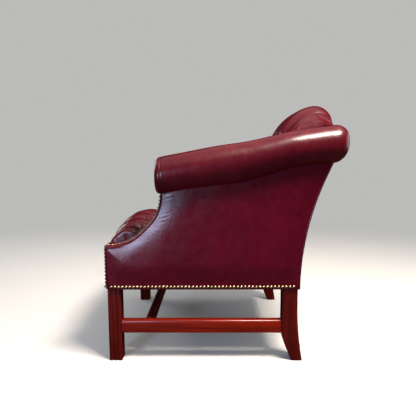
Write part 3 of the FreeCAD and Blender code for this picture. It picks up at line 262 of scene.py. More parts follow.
# Camera as fitted to the photograph, its place in millimetres like the sizes above
CAMERA_PLACE = (1697.9, 357.1, 684.7)
CAMERA_YAW = math.radians(-0.63)
CAMERA_PITCH = math.radians(6.59)
CAMERA_ROLL = math.radians(-0.25)
SENSOR_WIDTH = 36.0
FOCAL_PIXELS = 417.0
PHOTO_PIXELS = 416.0

# Floor, in metres
FLOOR_HALF = 12.0
FLOOR_FADE_NEAR = 0.9
FLOOR_FADE_FAR = 3.4


# Shader graphs

class Wire:
    """A shader socket whose sums and products are Math nodes."""

    def __init__(self, graph, socket):
        self.graph = graph
        self.socket = socket

    def math(self, operation, first, second):
        return self.graph.add("ShaderNodeMath", {"operation": operation}, {0: first, 1: second})

    def __add__(self, other):
        return self.math("ADD", self, other)

    def __radd__(self, other):
        return self.math("ADD", other, self)

    def __sub__(self, other):
        return self.math("SUBTRACT", self, other)

    def __rsub__(self, other):
        return self.math("SUBTRACT", other, self)

    def __mul__(self, other):
        return self.math("MULTIPLY", self, other)

    def __rmul__(self, other):
        return self.math("MULTIPLY", other, self)

    def between(self, low, high):
        """Zero below low, one above high, smooth between them."""
        settings = {"interpolation_type": "SMOOTHSTEP"}
        inputs = {"Value": self, "From Min": low, "From Max": high}
        return self.graph.add("ShaderNodeMapRange", settings, inputs)


class Graph:
    """The shader nodes of a new material or world."""

    def __init__(self, owner):
        owner.use_nodes = True
        self.owner = owner
        self.tree = owner.node_tree

    def add(self, kind, settings, inputs, output=0):
        """A node with its settings and inputs; its output as a Wire."""
        node = self.tree.nodes.new(kind)
        for key, value in settings.items():
            setattr(node, key, value)
        self.feed(node, inputs)
        return Wire(self, node.outputs[output])

    def feed(self, node, inputs):
        """Link or set each named input of a node."""
        for key, value in inputs.items():
            if isinstance(value, Wire):
                self.tree.links.new(value.socket, node.inputs[key])
            else:
                node.inputs[key].default_value = value

    def place(self, stretch=None):
        """Object coordinates, stretched along each axis where asked."""
        spot = self.add("ShaderNodeTexCoord", {}, {}, "Object")
        if stretch is None:
            return spot
        return self.add("ShaderNodeVectorMath", {"operation": "MULTIPLY"}, {0: spot, 1: stretch})

    def noise(self, place, scale, detail=3.0, roughness=0.5, distortion=0.0):
        inputs = {"Vector": place, "Scale": scale, "Detail": detail, "Roughness": roughness,
                  "Distortion": distortion}
        return self.add("ShaderNodeTexNoise", {}, inputs)

    def cells(self, place, scale):
        return self.add("ShaderNodeTexVoronoi", {"feature": "F1"}, {"Vector": place, "Scale": scale})

    def threads(self, place, direction, scale):
        inputs = {"Vector": place, "Scale": scale}
        return self.add("ShaderNodeTexWave", {"bands_direction": direction}, inputs)

    def mix(self, share, first, second):
        """Colour from first to second as share goes from zero to one."""
        return self.add("ShaderNodeMix", {"data_type": "RGBA"}, {0: share, 6: first, 7: second}, 2)

    def attribute(self, name):
        return self.add("ShaderNodeAttribute", {"attribute_name": name}, {}, "Fac")

    def ray(self, kind):
        """One for rays of a kind, zero for all others."""
        return self.add("ShaderNodeLightPath", {}, {}, kind)

    def bump(self, height, distance, strength=1.0):
        inputs = {"Height": height, "Distance": distance, "Strength": strength}
        return self.add("ShaderNodeBump", {}, inputs)

    def background(self, colour, strength=1.0):
        return self.add("ShaderNodeBackground", {}, {"Color": colour, "Strength": strength})

    def mix_shaders(self, share, first, second):
        return self.add("ShaderNodeMixShader", {}, {0: share, 1: first, 2: second})

    def finish(self, **inputs):
        """Feed the Principled shader; an underscore in a name stands for a space."""
        named = {key.replace("_", " "): value for key, value in inputs.items()}
        self.feed(self.tree.nodes["Principled BSDF"], named)
        return self.owner


def new_graph(name):
    return Graph(bpy.data.materials.new(name))


def shade(red, green, blue):
    return (red, green, blue, 1.0)


def darker(colour, share):
    return shade(*(share * channel for channel in colour[:3]))


def leather_material(name, deep, worn):
    """Polished burgundy leather: mottled dye, fine pebbles, soft creases, with painted shade in the folds."""
    graph = new_graph(name)
    place = graph.place()
    mottle = graph.noise(place, scale=7.0, detail=4.0, roughness=0.6)
    cloud = graph.noise(place, scale=38.0, detail=3.0, roughness=0.55)
    pebble = graph.cells(place, scale=720.0)
    crease = graph.noise(place, scale=95.0, detail=3.0, roughness=0.5, distortion=0.6)
    wave = graph.noise(place, scale=26.0, detail=2.0)
    fold = graph.attribute("fold")
    share = mottle.between(0.34, 0.7) * 0.7 + cloud.between(0.4, 0.75) * 0.3
    dye = graph.mix(share, deep, worn)
    # Painted shade: the colour is mixed toward a darker leather where the fold attribute marks a pleat, pit
    # or seam.
    colour = graph.mix(fold.between(0.25, 1.0) * 0.75, dye, darker(deep, 0.28))
    rough = 0.22 + cloud * 0.14 + fold * 0.12
    height = pebble * 0.16 + crease * 0.3 + wave * 1.6
    normal = graph.bump(height, distance=0.0009, strength=0.55)
    return graph.finish(Base_Color=colour, Roughness=rough, Normal=normal, Specular_IOR_Level=0.36,
                        Coat_Weight=0.12, Coat_Roughness=0.2)


def wood_material(name, along, dark, light):
    """Lacquered mahogany with its grain along an axis: growth bands, ribbon figure and pores."""
    graph = new_graph(name)
    slow = tuple(1.0 if axis == along else 16.0 for axis in range(3))
    fine = tuple(6.0 if axis == along else 240.0 for axis in range(3))
    bands = graph.noise(graph.place(slow), scale=2.4, detail=5.0, roughness=0.6, distortion=0.7)
    ribbon = graph.noise(graph.place(slow), scale=9.0, detail=3.0, distortion=0.2)
    pores = graph.noise(graph.place(fine), scale=1.0, detail=2.0)
    share = bands.between(0.32, 0.68) * 0.7 + ribbon.between(0.35, 0.7) * 0.3
    grain = graph.mix(share, dark, light)
    colour = graph.mix(pores.between(0.6, 0.72) * 0.6, grain, darker(dark, 0.35))
    rough = 0.26 + ribbon * 0.12
    normal = graph.bump(pores * -0.4 + bands * 0.3, distance=0.0003, strength=0.4)
    return graph.finish(Base_Color=colour, Roughness=rough, Normal=normal, Specular_IOR_Level=0.34,
                        Coat_Weight=0.16, Coat_Roughness=0.12)


def brass_material():
    """Antiqued brass: warm worn metal with brown patina patches."""
    graph = new_graph("antique_brass")
    place = graph.place()
    patina = graph.noise(place, scale=160.0, detail=4.0, roughness=0.6)
    tone = graph.noise(place, scale=55.0, detail=2.0)
    metal = graph.mix(tone.between(0.35, 0.65), shade(0.34, 0.222, 0.12), shade(0.46, 0.318, 0.185))
    colour = graph.mix(patina.between(0.5, 0.72) * 0.8, metal, shade(0.07, 0.034, 0.016))
    return graph.finish(Base_Color=colour, Roughness=0.27 + patina * 0.25, Metallic=1.0)


def steel_material():
    """Grey drawn wire of the springs, with their clips and screws."""
    graph = new_graph("spring_steel")
    grey = graph.noise(graph.place(), scale=120.0)
    colour = graph.mix(grey, shade(0.25, 0.25, 0.26), shade(0.45, 0.44, 0.43))
    return graph.finish(Base_Color=colour, Roughness=grey * 0.2 + 0.3, Metallic=1.0)


def cloth_material(name, dark, light):
    """Plain weave seen from close by: two sets of threads and a little fuzz."""
    graph = new_graph(name)
    place = graph.place()
    weave = graph.threads(place, "X", scale=260.0) * graph.threads(place, "Y", scale=260.0)
    fuzz = graph.noise(place, scale=400.0, detail=2.0)
    colour = graph.mix(weave * 0.6 + fuzz * 0.4, dark, light)
    normal = graph.bump(weave, distance=0.0004, strength=0.6)
    return graph.finish(Base_Color=colour, Roughness=0.9 - fuzz * 0.1, Normal=normal)


def sawn_material():
    """Pale sawn hardwood of the hidden frame."""
    graph = new_graph("frame_hardwood")
    place = graph.place((20.0, 20.0, 20.0))
    grain = graph.noise(place, scale=3.0, detail=5.0, roughness=0.6, distortion=0.5)
    colour = graph.mix(grain.between(0.3, 0.7), shade(0.42, 0.27, 0.13), shade(0.66, 0.49, 0.30))
    return graph.finish(Base_Color=colour, Roughness=0.7 + grain * 0.15)


LEATHER = leather_material("burgundy_leather", shade(0.058, 0.0004, 0.0066), shade(0.082, 0.0008, 0.0084))
WORN_LEATHER = leather_material("worn_leather", shade(0.054, 0.0008, 0.0054), shade(0.088, 0.0032, 0.0078))
BUTTON_LEATHER = leather_material("button_leather", shade(0.055, 0.002, 0.009), shade(0.088, 0.004, 0.012))
WELT_LEATHER = leather_material("welt_leather", shade(0.055, 0.002, 0.010), shade(0.09, 0.004, 0.013))
WOOD_X = wood_material("mahogany_cross", 0, shade(0.050, 0.0030, 0.0012), shade(0.120, 0.0080, 0.0018))
WOOD_Y = wood_material("mahogany_long", 1, shade(0.090, 0.0030, 0.0005), shade(0.230, 0.0090, 0.0008))
WOOD_Z = wood_material("mahogany_upright", 2, shade(0.050, 0.0016, 0.0009), shade(0.108, 0.0042, 0.0018))
BRASS = brass_material()
STEEL = steel_material()
BLACK_CLOTH = cloth_material("black_cambric", shade(0.008, 0.008, 0.008), shade(0.03, 0.03, 0.03))
JUTE = cloth_material("jute_webbing", shade(0.16, 0.10, 0.05), shade(0.36, 0.26, 0.14))
SAWN = sawn_material()
BLACK = shade(0.0, 0.0, 0.0)
BACKDROP = shade(0.50, 0.50, 0.49)
FLOOR_LOW = shade(0.62, 0.605, 0.58)
FLOOR_HIGH = shade(0.66, 0.645, 0.62)
FLOOR_BOUNCE = shade(0.16, 0.12, 0.09)
FLOOR_MIRRORED = shade(0.022, 0.018, 0.015)
SKY = shade(0.82, 0.86, 0.92)
SKY_STRENGTH = 0.33
SKY_MIRRORED = shade(0.02, 0.02, 0.022)
DAYLIGHT = (0.58, 0.69, 1.0)
ROOM_LIGHT = (1.0, 0.97, 0.94)
WARM_LIGHT = (1.0, 0.90, 0.80)


# Lines and surfaces

def rounded_line(points, radii, turn_step=math.radians(4.0)):
    """Points along a line through (y, z) corners that are rounded by arcs."""
    corners = [np.array(point, float) for point in points]
    last = len(corners) - 1
    spans = [corners[i + 1] - corners[i] for i in range(last)]
    lengths = [np.linalg.norm(span) for span in spans]
    ways = [span / length for span, length in zip(spans, lengths)]
    turns = [0.0] * (last + 1)
    for i in range(1, last):
        cross = ways[i - 1][0] * ways[i][1] - ways[i - 1][1] * ways[i][0]
        turns[i] = math.atan2(cross, float(ways[i - 1] @ ways[i]))
    reach = [radius * math.tan(abs(turn) / 2) for radius, turn in zip(radii, turns)]
    share = [min(1.0, ARC_SHARE * lengths[i] / max(reach[i] + reach[i + 1], 1.0)) for i in range(last)]
    line = [corners[0]]
    for i in range(1, last):
        radius = radii[i] * min(share[i - 1], share[i])
        cut = radius * math.tan(abs(turns[i]) / 2)
        start = corners[i] - ways[i - 1] * cut
        side = math.copysign(1.0, turns[i])
        centre = start + np.array([-ways[i - 1][1], ways[i - 1][0]]) * side * radius
        steps = max(1, math.ceil(abs(turns[i]) / turn_step))
        for j in range(steps + 1):
            angle = turns[i] * j / steps
            arm = start - centre
            line.append(centre + np.array([arm[0] * math.cos(angle) - arm[1] * math.sin(angle),
                                           arm[0] * math.sin(angle) + arm[1] * math.cos(angle)]))
    line.append(corners[last])
    return np.array(line)


def run_lengths(line):
    """Distance along a line to each of its points."""
    steps = np.linalg.norm(np.diff(line, axis=0), axis=1)
    return np.concatenate([[0.0], np.cumsum(steps)])


def resampled(line, count):
    """The same line as evenly spaced points, and their distances along it."""
    runs = run_lengths(line)
    spots = np.linspace(0.0, runs[-1], count)
    return np.stack([np.interp(spots, runs, line[:, i]) for i in range(line.shape[1])], axis=1), spots


def left_normals(line):
    """Unit normals to the left of a (y, z) line."""
    way = np.gradient(line, axis=0)
    way /= np.linalg.norm(way, axis=1, keepdims=True) + TINY
    return np.stack([-way[:, 1], way[:, 0]], axis=1)


def step(value, low, high):
    """Smooth step from zero at low to one at high."""
    share = np.clip((value - low) / (high - low), 0.0, 1.0)
    return share * share * (3.0 - 2.0 * share)


def hump(value, height, centre, reach):
    """Bell curve of a height, fading out over the reach on both sides of its centre."""
    return height * np.exp(-((value - centre) / reach) ** 2)


def wobble(x, y, seed):
    """Gentle seeded unevenness between minus one and one."""
    rng = np.random.default_rng(seed)
    total = np.zeros_like(x)
    for _ in range(WOBBLE_WAVES):
        angle = rng.uniform(0.0, 2.0 * math.pi)
        length = rng.uniform(WOBBLE_SHORT, WOBBLE_LONG)
        phase = rng.uniform(0.0, 2.0 * math.pi)
        total += np.sin((x * math.cos(angle) + y * math.sin(angle)) * 2.0 * math.pi / length + phase)
    return total / WOBBLE_WAVES


def gap_to(flat, segments):
    """Distance of each flat place from the nearest of some straight segments."""
    gap = np.full(flat.shape[:2], np.inf)
    for start, end in segments:
        span = np.subtract(end, start)
        share = np.clip(((flat - start) @ span) / (span @ span + TINY), 0.0, 1.0)
        gap = np.minimum(gap, np.linalg.norm(flat - start - share[:, :, None] * span, axis=2))
    return gap


def roll_height(y):
    """Height of the arm roll's axis: a straight slope with the sag and swell of the stuffed roll."""
    straight = ROLL_FRONT_HEIGHT + (y - ROLL_FRONT) * ROLL_TAN
    return straight - hump(y, *ROLL_SAG) + hump(y, *ROLL_SWELL) - ROLL_DROOP * step(y, *ROLL_DROOP_RUN)


def sweep_y(radius, z):
    """Y of the back's sweep at a height: an arc, then its tangent."""
    turn = RAIL_BOTTOM + radius * math.sin(SWEEP_ANGLE)
    low = np.minimum(z, turn)
    return SWEEP_Y - np.sqrt(radius ** 2 - (low - RAIL_BOTTOM) ** 2) + (z - low) * math.tan(SWEEP_ANGLE)


def crest_centre(x):
    """Centre (y, z) of the crest roll: an S curve of two equal arcs each side, leaning back."""
    rise_angle = 2.0 * math.atan(CREST_RISE / ROLL_X)
    radius = ROLL_X / (2.0 * math.sin(rise_angle))
    across = min(abs(x), ROLL_X)
    if across <= ROLL_X / 2:
        rise = CREST_RISE - radius + math.sqrt(radius ** 2 - across ** 2)
    else:
        rise = radius - math.sqrt(radius ** 2 - (ROLL_X - across) ** 2)
    return np.array([ROLL_REAR + rise * math.sin(RAKE), ROLL_REAR_HEIGHT + rise * math.cos(RAKE)])


def facing_line():
    """Arm front seen from the side, from above the scroll down to the bottom of the front edge."""
    z = ROLL_FRONT_HEIGHT
    points = [(ROLL_FRONT, z + ROLL_RADIUS), (ROLL_FRONT, z - SCROLL_FLAT), (ARM_SETBACK, z - ROLL_RADIUS),
              (ARM_SETBACK, CORNER_HEIGHT + SWOOP_CUT), (ARM_SETBACK - SWOOP_CUT, CORNER_HEIGHT),
              (-SKIN, CORNER_HEIGHT), (-SKIN, RAIL_BOTTOM)]
    ease = FACING_ROUNDING
    return rounded_line(points, (0.0, ease, ease, SWOOP_RADIUS, SWOOP_RADIUS, ease, 0.0))


def back_line(x):
    """Inside back at X: straight front, shoulder, crest roll and tuck behind."""
    normal = np.array([-math.cos(RECLINE), math.sin(RECLINE)])
    up = np.array([math.sin(RECLINE), math.cos(RECLINE)])
    centre = crest_centre(x)
    toward = np.array([math.sin(CREST_LEAD), -math.cos(CREST_LEAD)])
    gauge = np.array([BACK_FRONT + BACK_DRAW_IN * (x / ARM_INNER) ** 2, BACK_GAUGE_HEIGHT])
    lean = float(toward @ normal)
    shoulder = (float((gauge - centre) @ normal) + ROLL_RADIUS * lean) / (1.0 + lean)
    shoulder_centre = centre + toward * (shoulder - ROLL_RADIUS)
    low = gauge + up * ((SEAT_TUCK_HEIGHT - gauge[1]) / up[1])
    line = [low, shoulder_centre + normal * shoulder]
    start = math.atan2(normal[1], normal[0])
    end = math.atan2(-toward[1], -toward[0])
    for angle in np.linspace(start, end, 20)[1:]:
        line.append(shoulder_centre + shoulder * np.array([math.cos(angle), math.sin(angle)]))
    for angle in np.linspace(-CREST_LEAD, CREST_TUCK_ANGLE, 32)[1:]:
        line.append(centre + ROLL_RADIUS * np.array([math.sin(angle), math.cos(angle)]))
    return np.array(line)


def seat_line(x):
    """Seat at X: apron, nose, top and the dip behind."""
    top = SEAT_HEIGHT - SEAT_CROWN * (x / ARM_INNER) ** 2
    rear = top - SEAT_FALL
    back_y = BACK_FRONT + BACK_DRAW_IN * (x / ARM_INNER) ** 2 + SEAT_TUCK
    rear_y = back_y + (rear - BACK_GAUGE_HEIGHT) * math.tan(RECLINE)
    low_y = back_y + (SEAT_TUCK_HEIGHT - BACK_GAUGE_HEIGHT) * math.tan(RECLINE)
    points = [(-SKIN, RAIL_BOTTOM), (-SKIN, top - SEAT_NOSE_DROP), (-SKIN + SEAT_NOSE_DEPTH, top),
              (rear_y, rear), (low_y, SEAT_TUCK_HEIGHT)]
    return rounded_line(points, SEAT_RADII)


# Meshes and pieces

def to_row(points):
    """Millimetres from the front legs' face to metres in the part's frame."""
    return (np.asarray(points, float) + np.array([0.0, Y_SHIFT, 0.0])) * MM


def add_object(name, data):
    made = bpy.data.objects.new(name, data)
    bpy.context.scene.collection.objects.link(made)
    return made


def new_piece(name, mesh, material, nodes):
    """A piece of the chair that stands for the named CAD nodes."""
    piece = add_object(name, mesh)
    mesh.materials.clear()
    mesh.materials.append(material)
    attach(piece, "root")
    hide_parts(*nodes)
    return piece


def finished(work, name):
    """The smooth mesh that a bmesh becomes."""
    for face in work.faces:
        face.smooth = True
    mesh = bpy.data.meshes.new(name)
    work.to_mesh(mesh)
    work.free()
    return mesh


def store_fold(mesh, values):
    """Keep for the material how deep in a fold each vertex lies; the leather paints shade there."""
    attribute = mesh.attributes.new("fold", "FLOAT", "POINT")
    attribute.data.foreach_set("value", np.asarray(values, np.float32).ravel())


def sheet_mesh(name, places, outward, fold=None):
    """Mesh of a grid whose points are at the given places, its faces turned toward outward."""
    along, across = places.shape[:2]
    work = bmesh.new()
    bmesh.ops.create_grid(work, x_segments=across - 1, y_segments=along - 1, size=1.0)
    mesh = finished(work, name)
    mesh.vertices.foreach_set("co", to_row(places.reshape(-1, 3)).astype(np.float32).ravel())
    store_fold(mesh, np.zeros(along * across) if fold is None else fold)
    mesh.update()
    normals = np.zeros(len(mesh.polygons) * 3, np.float32)
    mesh.polygons.foreach_get("normal", normals)
    if float(normals.reshape(-1, 3).sum(axis=0) @ np.array(outward)) < 0.0:
        mesh.flip_normals()
    return mesh


def closed_mesh(mesh):
    """Join doubled points of a tube and turn its faces outward."""
    work = bmesh.new()
    work.from_mesh(mesh)
    bmesh.ops.remove_doubles(work, verts=work.verts, dist=SAME_PLACE)
    bmesh.ops.recalc_face_normals(work, faces=work.faces)
    work.to_mesh(mesh)
    work.free()
    return mesh


def joined(name, meshes):
    """Several meshes as one."""
    work = bmesh.new()
    for mesh in meshes:
        work.from_mesh(mesh)
    return finished(work, name)


def mirror_mesh(mesh, name):
    """The same mesh on the other side of X zero."""
    other = mesh.copy()
    other.name = name
    other.transform(Matrix.Diagonal((-1.0, 1.0, 1.0, 1.0)))
    other.flip_normals()
    return other


def pair(name, mesh, material, nodes):
    """A left piece and its mirrored right piece; nodes are named without their side."""
    made = []
    for side, own in (("left", mesh), ("right", mirror_mesh(mesh, name + "_right"))):
        own_nodes = ["%s_%s" % (node, side) for node in nodes]
        made.append(new_piece("%s_%s_skin" % (name, side), own, material, own_nodes))
    return made


# Tufting

def swell(piece, held):
    """Stuff a cover: cloth under pressure that is held where it is sewn down."""
    mesh = piece.data
    before = np.zeros(len(mesh.vertices) * 3, np.float32)
    mesh.vertices.foreach_get("co", before)
    group = piece.vertex_groups.new(name="held")
    for i, weight in enumerate(held.ravel()):
        group.add([i], float(weight), "REPLACE")
    cloth = piece.modifiers.new("swell", "CLOTH")
    cloth.collision_settings.use_collision = False
    for key, value in CLOTH.items():
        setattr(cloth.settings, key, value)
    cloth.settings.vertex_group_mass = group.name
    cloth.settings.effector_weights.gravity = 0.0
    scene = bpy.context.scene
    for number in range(1, SWELL_FRAMES + 1):
        scene.frame_set(number)
    swelled = piece.evaluated_get(bpy.context.evaluated_depsgraph_get()).to_mesh()
    after = np.zeros_like(before)
    swelled.vertices.foreach_get("co", after)
    scene.frame_set(1)
    piece.modifiers.remove(cloth)
    piece.vertex_groups.remove(group)
    move = (after - before).reshape(-1, 3)
    length = np.linalg.norm(move, axis=1, keepdims=True)
    move *= np.minimum(1.0, SWELL_MOST * MM / np.maximum(length, TINY))
    mesh.vertices.foreach_set("co", (before.reshape(-1, 3) + move).ravel())
    mesh.update()


def held_weights(fold):
    """How firmly each point is held: fully in the folds and along the border."""
    held = np.clip(fold * HOLD_SHARE, 0.0, 1.0)
    held[:HELD_BORDER] = held[-HELD_BORDER:] = 1.0
    held[:, :HELD_BORDER] = held[:, -HELD_BORDER:] = 1.0
    return held


def tuft_rows(counts, pitch, rows):
    """Button places (x, s), row by row."""
    return [[((j - (count - 1) / 2) * pitch, s) for j in range(count)] for count, s in zip(counts, rows)]


def tuft_pleats(rows, pitch, s_first, side):
    """Fold lines: between buttons of neighbouring rows, and on from the outer buttons to the edges."""
    lines = []
    for lower, upper in zip(rows, rows[1:]):
        for a in lower:
            for b in upper:
                if abs(a[0] - b[0]) < pitch:
                    lines.append((a, b))
    for x, s in rows[0]:
        lines.append(((x, s), (x, s_first)))
    for x, s in rows[-1]:
        lines.append(((x, s), (x, FOLD_END)))
    widest = max(len(row) for row in rows)
    for row in rows:
        if len(row) == widest:
            lines.append((row[0], (-side, row[0][1])))
            lines.append((row[-1], (side, row[-1][1])))
    return lines


def tuft_relief(x, s, rows, lines, button_sink, pleat_sink, pleat_width):
    """How far the leather is drawn in at each point, and how deep in a fold it lies (0 to 1)."""
    nearest = np.full(x.shape, np.inf)
    pucker = np.zeros(x.shape)
    for i, (button_x, button_s) in enumerate(button for row in rows for button in row):
        reach = np.hypot(x - button_x, s - button_s)
        turn = np.arctan2(s - button_s, x - button_x)
        own = np.sin(PUCKER_COUNT * turn + i) * np.exp(-np.abs(reach - PUCKER_RING) / PUCKER_REACH)
        pucker = np.where(reach < nearest, own, pucker)
        nearest = np.minimum(nearest, reach)
    near_fold = gap_to(np.stack([x, s], axis=2), lines)
    depth = pleat_sink + (button_sink - pleat_sink) * np.exp(-nearest / TUFT_REACH)
    pleat = depth * np.exp(-near_fold / pleat_width)
    pit = hump(nearest, button_sink, 0.0, PIT_RADIUS)
    fold = np.maximum(np.exp(-near_fold / FOLD_REACH), hump(nearest, 1.0, 0.0, FOLD_PIT_RADIUS))
    return np.maximum(pleat, pit) - PUCKER_HEIGHT * pucker, fold


def button_mesh(name, spots):
    """Domed leather-covered buttons at (place, outward) spots, as one mesh."""
    work = bmesh.new()
    for place, out in spots:
        centre, axis = Vector(place), Vector(out)
        turn = Vector((0.0, 0.0, 1.0)).rotation_difference(axis).to_matrix()
        rim = []
        for across, up in BUTTON_PROFILE:
            point = Vector((across * BUTTON_RADIUS * MM, 0.0, up * BUTTON_HEIGHT * MM))
            rim.append(work.verts.new(turn @ point + centre))
        edges = [work.edges.new((a, b)) for a, b in zip(rim, rim[1:])]
        bmesh.ops.spin(work, geom=rim + edges, cent=centre, axis=axis, angle=2.0 * math.pi,
                       steps=BUTTON_STEPS, use_merge=True)
    bmesh.ops.remove_doubles(work, verts=work.verts, dist=SAME_PLACE)
    bmesh.ops.recalc_face_normals(work, faces=work.faces)
    mesh = finished(work, name)
    store_fold(mesh, np.full(len(mesh.vertices), BUTTON_FOLD))
    return mesh


def spot_on(places, x_values, s_values, x, s):
    """Place of a sheet at grid coordinates (x, s)."""
    column = float(np.interp(x, x_values, np.arange(len(x_values))))
    i = min(int(column), len(x_values) - 2)
    row = float(np.interp(s, s_values[:, i], np.arange(len(s_values))))
    j = min(int(row), len(s_values) - 2)
    sideways = (places[j, i + 1] - places[j, i]) * (column - i)
    upward = (places[j + 1, i] - places[j, i]) * (row - j)
    return places[j, i] + sideways + upward


def button_spots(places, x_values, s_values, rows, out):
    """Place and outward direction of each button, a little above the leather."""
    spots = []
    for row in rows:
        for x, s in row:
            here = spot_on(places, x_values, s_values, x, s)
            spots.append((to_row(here + BUTTON_LIFT * np.array(out)), out))
    return spots


def cover_grid(line_of, x_values, count, zero_of):
    """Points of a cover along its side lines, their normals and their s coordinates."""
    flat = np.zeros((count, len(x_values), 3))
    normals = np.zeros((count, len(x_values), 3))
    s_values = np.zeros((count, len(x_values)))
    for i, x in enumerate(x_values):
        points, runs = resampled(line_of(x), count)
        flat[:, i, 0] = x
        flat[:, i, 1:] = points
        normals[:, i, 1:] = left_normals(points)
        s_values[:, i] = runs - zero_of(points, runs)
    return flat, normals, s_values


def turned_edges(half, radius, depth, count, wall):
    """X of each column and how far it is turned in: flat middle, quarter round, then a wall."""
    flat = np.linspace(-half + radius, half - radius, count)
    angles = np.linspace(0.0, math.pi / 2, 7)[1:]
    arc_x = half - radius + radius * np.sin(angles)
    arc_in = radius * (1.0 - np.cos(angles))
    wall_in = np.linspace(radius, depth, wall + 1)[1:]
    x = np.concatenate([arc_x, np.full(wall, half)])
    turned = np.concatenate([arc_in, wall_in])
    return np.concatenate([-x[::-1], flat, x]), np.concatenate([turned[::-1], np.zeros(count), turned])


def tufted_piece(part, places, fold, held, outward, spots):
    """Stuffed cover of the seat or the back, with its buttons."""
    mesh = sheet_mesh(part, places, outward, fold)
    piece = new_piece(part + "_tufted", mesh, WORN_LEATHER, [part + "_cover", part + "_pad"])
    swell(piece, held)
    caps = button_mesh(part + "_buttons", spots)
    new_piece(part + "_button_caps", caps, BUTTON_LEATHER, [part + "_buttons"])


def seat_zero(points, runs):
    """Run of a seat line at the first row of buttons."""
    front = np.argmax(points[:, 0] > SEAT_TUFT_FIRST)
    return runs[front - 1] + (SEAT_TUFT_FIRST - points[front - 1, 0])


def seat_piece():
    """Tight seat: tufted on top, rolled over the nose, plain apron down the front rail."""
    half = ARM_INNER - SEAT_SIDE_GAP
    x_values, turned = turned_edges(half, SEAT_EDGE_RADIUS, SEAT_EDGE_DEPTH, count=171, wall=5)
    rows = tuft_rows(SEAT_COUNTS, SEAT_TUFT_PITCH, [i * SEAT_TUFT_ROW for i in range(len(SEAT_COUNTS))])
    lines = tuft_pleats(rows, SEAT_TUFT_PITCH, SEAT_FOLD_START, ARM_INNER)
    flat, normals, s = cover_grid(seat_line, x_values, 190, seat_zero)
    x = np.broadcast_to(x_values, s.shape)
    sink, fold = tuft_relief(x, s, rows, lines, **SEAT_RELIEF)
    on_top = step(s, SEAT_APRON_LOW, SEAT_APRON_HIGH)
    sink = sink * on_top - hump(s, *SEAT_NOSE) + COVER_UNEVEN * wobble(x, s, 3) * on_top
    turn_share = SEAT_APRON_TURN + (1.0 - SEAT_APRON_TURN) * step(s, SEAT_TURN_LOW, SEAT_APRON_HIGH)
    places = flat - normals * (sink + turned * turn_share)[:, :, None]
    fold = fold * on_top
    apron = 1.0 - step(s, SEAT_APRON_LOW, SEAT_APRON_HELD)
    spots = button_spots(places, x_values, s, rows, (0.0, 0.0, 1.0))
    tufted_piece("seat", places, fold, np.maximum(held_weights(fold), apron), (0.0, -0.6, 0.8), spots)


def back_zero(points, runs):
    """Run of a back line at the first row of buttons."""
    top = np.argmax(points[:, 1])
    return float(np.interp(BACK_TUFT_FIRST, points[:top, 1], runs[:top]))


def back_piece():
    """Inside back: tufted, drawn in beside the arms, folded over the humped crest."""
    x_values = np.linspace(-ROLL_X, ROLL_X, 191)
    heights = [BACK_TUFT_FIRST + i * BACK_TUFT_ROW for i in range(len(BACK_COUNTS))]
    middle, runs = resampled(back_line(0.0), 400)
    top = np.argmax(middle[:, 1])
    first_run = back_zero(middle, runs)
    row_runs = [float(np.interp(z, middle[:top, 1], runs[:top])) - first_run for z in heights]
    rows = tuft_rows(BACK_COUNTS, BACK_TUFT_PITCH, row_runs)
    lines = tuft_pleats(rows, BACK_TUFT_PITCH, BACK_FOLD_START, ROLL_X)
    flat, normals, s = cover_grid(back_line, x_values, 240, back_zero)
    x = np.broadcast_to(x_values, s.shape)
    sink, fold = tuft_relief(x, s, rows, lines, **BACK_RELIEF)
    drawn = np.exp(-np.maximum(ARM_INNER - np.abs(x), 0.0) / BACK_EDGE_REACH)
    drawn = drawn * step(-s, *BACK_EDGE_RUN)
    sink = sink + BACK_EDGE_DRAW * drawn + COVER_UNEVEN * wobble(x, s, 8)
    places = flat - normals * sink[:, :, None]
    out = (0.0, -math.cos(RECLINE), math.sin(RECLINE))
    spots = button_spots(places, x_values, s, rows, out)
    tufted_piece("back", places, fold, held_weights(fold), (0.0, -0.8, 0.6), spots)


# Arms

def roll_rings():
    """Arm roll as (y, radius) rings: dished scroll, eased rim, straight run, rounded rear end."""
    rim = SCROLL_FACE + SCROLL_EASE
    inner = ROLL_RADIUS - SCROLL_EASE
    rear = ROLL_REAR + ROLL_OVERRUN
    rings = []
    for share in np.linspace(0.0, 1.0, 7)[:-1]:
        rings.append((SCROLL_FACE - SCROLL_DISH * (1.0 - share ** 2), inner * share))
    for angle in np.linspace(0.0, math.pi / 2, 10):
        rings.append((rim - SCROLL_EASE * math.cos(angle), inner + SCROLL_EASE * math.sin(angle)))
    for y in np.linspace(rim, rim + SEAM_RUN, 9)[1:]:
        rings.append((y, ROLL_RADIUS))
    for y in np.linspace(rim + SEAM_RUN, rear, 150)[1:-1]:
        rings.append((y, ROLL_RADIUS))
    flat = ROLL_RADIUS - ROLL_CAP
    for angle in np.linspace(0.0, math.pi / 2, 14):
        rings.append((rear + ROLL_CAP * math.sin(angle), flat + ROLL_CAP * math.cos(angle)))
    rings.append((rear + ROLL_CAP + ROLL_CROWN, 0.0))
    return rings


